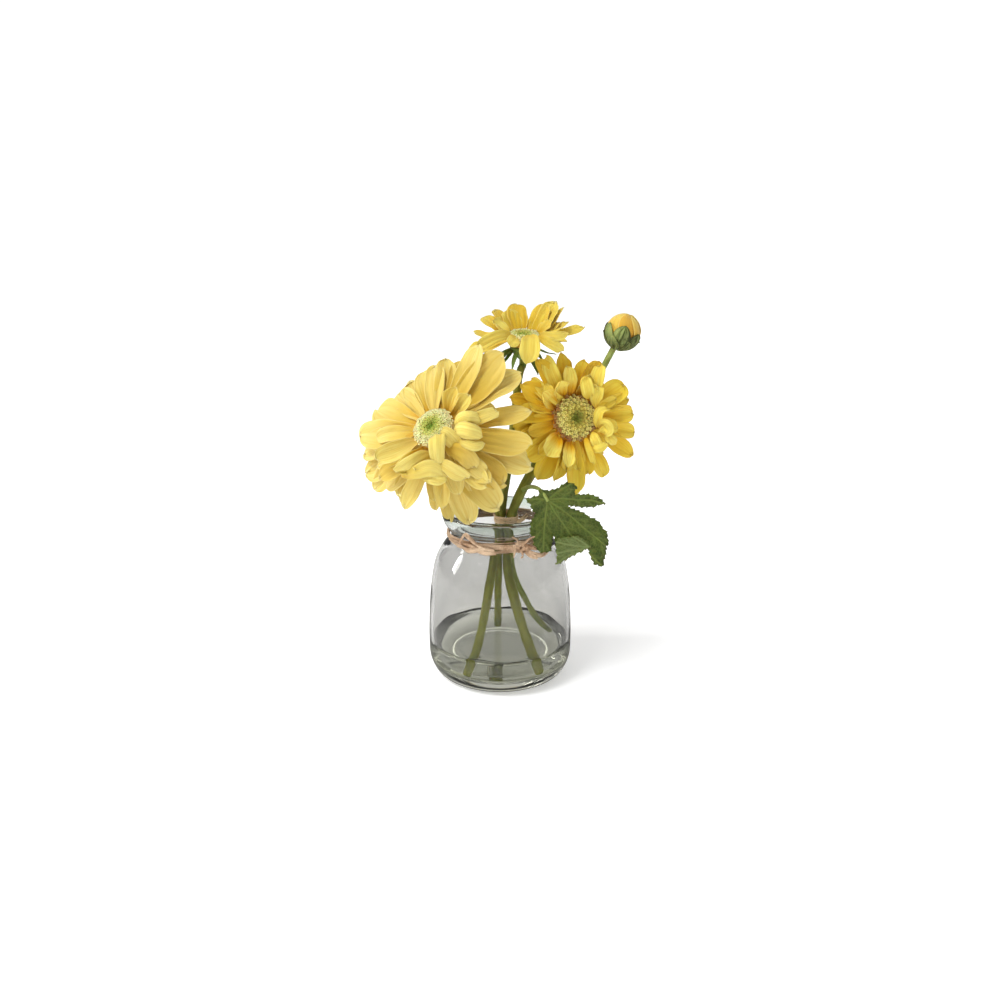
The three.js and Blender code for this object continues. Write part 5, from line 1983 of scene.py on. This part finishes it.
TOP_FOLDS: list[Fold] = [
    Fold([(3.5, -6, 3), (3.5, -11.5, 1.5), (3, -15.5, -3.5), (1.5, -16.5, -9.5)],
         [6.5, 10, 11.4, 6], 0.25, 0.5, 0.8, 0.3),
    Fold([(-4, -6, 2), (-5.5, -10, 1), (-7, -11.5, -1.5)], [5, 7.4, 6], 0.2, 0.4, 0.6, 0.3),
    Fold([(-7, -4.5, 3), (-14, -9.5, 3.5), (-20, -12, 1.5), (-25.5, -12, -2)],
         [4.5, 6, 6.6, 5], 0.15, 0.5, 0.8, 0.22),
    Fold([(8, -5.5, 2), (12, -10, 1), (16.5, -11.5, -1), (21, -11.5, -4)],
         [3.4, 5, 6, 5.4], 0.2, 0.3, 0.6, 0.2),
    Fold([(9, -4.5, 2.5), (14.5, -8.5, 3), (19, -9.5, 3.5), (24, -8, 4)], [3.6, 5, 5, 3], 0.2, 0.5, 0.8, 0.2),
]
TOP_PETALS: list[Row] = [
    (60, 22, 12, 36, 8), (98, 21, 12, 36, 6), (112, 17, 11, 30, 4), (126, 22, 11, 27, 6),
    (143, 22, 12, 16, 6), (56, 19, 11, 22, 4), (47, 25, 12, 34, 8), (36, 24, 6, 26, 6), (20, 20, 12, 14, 8),
    (168, 21, 10, 4, 4), (184, 23, 10, -12, -4), (200, 20, 9, -14, -4), (10, 27, 4, 12, 4),
    (348, 17, 7, 4, -4), (132, 15, 9, 14, 6), (30, 17, 10, 20, 8),
]
TOP_INNER: list[Row] = [(150, 13, 9, 26, 10, 0), (30, 12, 8, 32, 10, 0)]
TOP_BRACTS: list[Row] = [
    (190, 20, 3, -28, 6), (202, 16, 3.4, -34, 8), (212, 19, 2.6, -40, 6), (238, 12, 3, -62, 10),
    (276, 9, 4, -78, 10), (312, 15, 5.4, -66, 6), (340, 9, 4, -52, 10), (12, 15, 3, -30, 10),
    (50, 8, 4, -58, 10), (100, 8, 4, -58, 10), (150, 9, 4, -55, 10),
]
STEMS: dict[str, Stem] = {
    "large": Stem("large", "large_daisy_stem", "large_stem", 2.4, [
        (-17.2, -27.2, 9.8), (-14.3, -28.4, 19.5), (-9.8, -21.5, 36.3), (-5.6, -10.8, 59), (-2.3, -4.8, 78),
        (0, -3, 94), (-3.5, -2, 105), (-12, -1, 120), (-24, -6, 136),
    ]),
    "right": Stem("right", "right_daisy_stem", "leafy_stem", 2.8, [
        (20.2, -24.2, 10.4), (18.2, -27.6, 20), (12.4, -20.5, 35.7), (8, -14.4, 50), (4.2, -7.6, 68),
        (6.2, -3.2, 94), (11.6, -1.5, 108), (21, 4, 124), (31, 11, 140),
    ]),
    "top": Stem("top", "top_daisy_stem", "top_stem", 2.2, [
        (-1.5, 24.5, 10), (-1.3, 23.2, 20.6), (-1.3, 17.5, 36.5), (-0.9, 9.5, 60), (0.4, 4.6, 80),
        (0.9, 2.6, 94), (3.6, 5, 114), (8, 4.5, 150), (11, 4, 176),
    ]),
    "bud": Stem("bud", "bud_stalk", "bud_stem", 1.8, [
        (31, 12.5, 14), (28.2, 12, 20), (21.5, 11, 28.1), (14.8, 8.5, 41.8), (10.2, 6.9, 52), (7, 5.5, 62),
        (5.9, 4, 76), (6.4, 2.7, 94), (12, 9, 108), (25, 17, 130), (42, 20, 154), (56.5, 16.4, 173.6),
        (60.6, 14.5, 181.7), (64.4, 12.6, 190),
    ]),
}
STUB = [(1.3, -0.2, 86), (2.6, -0.3, 70), (3.3, 0.4, 55)]
STUB_WIDTH = 3.0
LEAF_STALK = [
    (12.2, -1.6, 110), (15.6, -9, 113.4), (18.4, -20, 116.2), (21.4, -28.2, 116.6), (24.2, -31.2, 113.6),
    (25.4, -31.4, 111.2),
]

# The root colours are partly the petals' own orange and partly painted shade round the disc.
CREAM = PetalFinish(
    "cream_petal", root=shown(206, 150, 30), deep=shown(212, 173, 56), middle=shown(222, 193, 88),
    tip=shown(231, 210, 124), curled=shown(242, 225, 120), rim=shown(240, 228, 160), glow=0.14,
)
GOLD = PetalFinish(
    "gold_petal", root=shown(206, 126, 6), deep=shown(226, 172, 14), middle=shown(236, 198, 36),
    tip=shown(243, 217, 78), curled=shown(250, 236, 118), rim=shown(190, 144, 40), rim_share=0.35, glow=0.14,
)
BUTTER = PetalFinish(
    "butter_petal", root=shown(206, 148, 20), deep=shown(212, 170, 36), middle=shown(219, 191, 62),
    tip=shown(225, 204, 94), curled=shown(236, 221, 114), rim=shown(240, 228, 150), glow=0.14,
)
CLOSED = PetalFinish(
    "bud_petal", root=shown(190, 130, 30), deep=shown(212, 150, 40), middle=shown(220, 176, 62),
    tip=shown(232, 208, 104), curled=shown(226, 190, 84), rim=shown(240, 220, 130), rim_share=0.5,
)
# The throat colours are painted shade in the florets' recesses.
PALE = FloretFinish(
    "pale_florets", eye=shown(104, 150, 40), ring=shown(222, 222, 120), outer=shown(250, 245, 190),
    throat=shown(180, 170, 70), tips=shown(214, 176, 104), tip_share=0.3,
)
TAWNY = FloretFinish(
    "tawny_florets", eye=shown(92, 118, 24), ring=shown(238, 220, 108), outer=shown(248, 234, 142),
    throat=shown(132, 106, 30), tips=shown(150, 78, 50), tip_share=0.9,
)
# The foot colours of these stem finishes are painted light inside the glass jar.
OLIVE = GreenFinish(
    "olive_stem", base=shown(118, 124, 44), pale=shown(158, 162, 74), dark=shown(80, 88, 24),
    bronze=shown(124, 94, 46), painted_light_in_jar=shown(164, 166, 50),
)
LIGHT = GreenFinish(
    "light_stem", base=shown(140, 154, 74), pale=shown(176, 188, 108), dark=shown(108, 122, 48),
    bronze=shown(122, 104, 54), painted_light_in_jar=shown(150, 158, 54),
)
BRACT = GreenFinish(
    "green_bract", base=shown(96, 126, 52), pale=shown(130, 156, 80), dark=shown(66, 92, 32),
    bronze=shown(96, 92, 40),
)
# The sepals' pale patch round the spot is painted light on the bud's lit front left.
SEPAL = GreenFinish(
    "bud_sepal", base=shown(76, 84, 24), pale=shown(158, 172, 98), dark=shown(44, 52, 10),
    bronze=shown(48, 42, 14), stretch=3.0, rim_share=0.8, painted_light_spot=(0.0565, 0.0, 0.199),
)
BLADE = LeafFinish(
    "leaf_blade", blade=shown(72, 88, 24), dark=shown(46, 60, 14), vein=shown(114, 128, 56),
    under=shown(92, 106, 50), under_vein=shown(130, 144, 84),
)
STRAW = RaffiaFinish(
    "dry_raffia", pale=shown(232, 202, 168), brown=shown(168, 122, 86), split=shown(108, 68, 42),
)
# A lighter copy of the raffia for the tie: painted light where the tie lies in the flowers' shade in the
# jar's neck.
PAINTED_LIGHT_STRAW = replace(STRAW, name="pale_raffia", pale=shown(246, 218, 180), brown=STRAW.pale)
GLASS = ClearFinish(
    "clear_glass", tint=(0.636, 0.634, 0.62, 1.0), ior=1.5, wave=0.05, wave_size=30.0,
    foot=(0.8, 0.8, 0.7, 1.0), lip=(0.5, 0.57, 0.51, 1.0),
)
WATER = ClearFinish("clear_water", tint=(0.97, 0.985, 0.975, 1.0), ior=1.333, wave=0.01, wave_size=40.0)
BUD = Bud(centre=(68.6, 11, 198.0), facing=(0.34, -0.16, 0.93), petal_finish=CLOSED, sepal_finish=SEPAL)
LEAF = Leaf(origin=(25.2, -30.5, 111.8), finish=BLADE, stalk=LEAF_STALK)

BLOOMS = [
    Bloom(
        "large", centre=(-33.5, -30, 149), facing=(-0.22, -0.87, 0.44), disc_radius=10.8, seed=11,
        petals=LARGE_PETALS, inner=LARGE_INNER, folds=LARGE_FOLDS, petal_finish=CREAM, floret_finish=PALE,
        between=Between(count=10, length=34.0, width=12.0, lift=-16.0, first=185.0, span=150.0),
        florets=190, floret_size=1.35, tilt=(2.4, -17.0, 45.0),
    ),
    Bloom(
        "right", centre=(41.2, 0, 151), facing=(0.36, -0.91, 0.2), disc_radius=12.6, seed=23,
        petals=RIGHT_PETALS, inner=RIGHT_INNER, folds=RIGHT_FOLDS, petal_finish=GOLD, floret_finish=TAWNY,
        between=Between(count=14, length=18.0, width=9.0, lift=-4.0, first=10.0, span=360.0),
        florets=120, floret_size=1.7, style=BladeStyle(channel=0.75, crease=0.1, ripple=0.18),
    ),
    Bloom(
        "top", centre=(12.8, 4, 195.4), facing=(0, -0.27, 0.96), disc_radius=8.6, seed=37,
        petals=TOP_PETALS, inner=TOP_INNER, folds=TOP_FOLDS, petal_finish=BUTTER, floret_finish=PALE,
        between=Between(count=3, length=12.0, width=8.0, lift=12.0, first=20.0, span=150.0),
        florets=110, rise=1.3, dome_share=1.04,
    ),
]
BRACTS = {"large": bract_ring(11), "right": bract_ring(23), "top": TOP_BRACTS}


def daisies(grower: Grower, effects: Effects) -> list[tuple[np.ndarray, float]]:
    """Builds the three daisies on their stems, and the cut stub between them.

    Args:
        grower: the Geometry Nodes trees.
        effects: the shared shader groups.

    Returns:
        The path and the radius of each stem.
    """
    olive, bract = OLIVE.material(effects), BRACT.material(effects)
    standing = []
    for bloom in BLOOMS:
        bloom.build(grower, effects)
        stem = STEMS[bloom.name]
        neck = [tuple(bloom.frame @ Vector((0, 0, -depth))) for depth in (16, 11)]
        standing.append((stem.build(grower, olive, neck), stem.radius))
        place(bloom.calyx(BRACTS[bloom.name]), f"{bloom.name}_daisy_calyx", stem.node, stem.slot, bract)
    taper = np.minimum(1, 0.12 + 2.2 * np.linspace(1, 0, 25))
    mesh = grower.strands([smooth_path(STUB, 24)], "stub", olive, girths=[taper], Steps=30, Sides=14,
                          Width=STUB_WIDTH * MM, Thickness=STUB_WIDTH * MM, Crinkle=0.0004)
    place(mesh, "cut_stub", "top_stem", "top_stem")
    return standing


def main() -> None:
    """Builds every piece in turn, then the studio."""
    logging.basicConfig(level=logging.INFO, format="%(message)s")
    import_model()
    grower, effects = Grower(), Effects()
    standing = daisies(grower, effects)
    light = LIGHT.material(effects)
    stem = STEMS["bud"]
    standing.append((stem.build(grower, light), stem.radius))
    BUD.build(grower, effects)
    LEAF.build(grower, effects, light, "right_stem", "leafy_stem")
    # The tie takes the lighter raffia, which is painted light.
    Raffia("raffia_tie", PAINTED_LIGHT_STRAW.material(effects), grower, np.random.default_rng(TIE_SEED)).tie()
    Raffia("raffia_band", STRAW.material(effects), grower, np.random.default_rng(BAND_SEED)).band()
    Jar(GLASS, WATER).build(effects, standing)
    Studio().build(effects)
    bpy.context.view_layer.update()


if __name__ == "__main__":
    main()
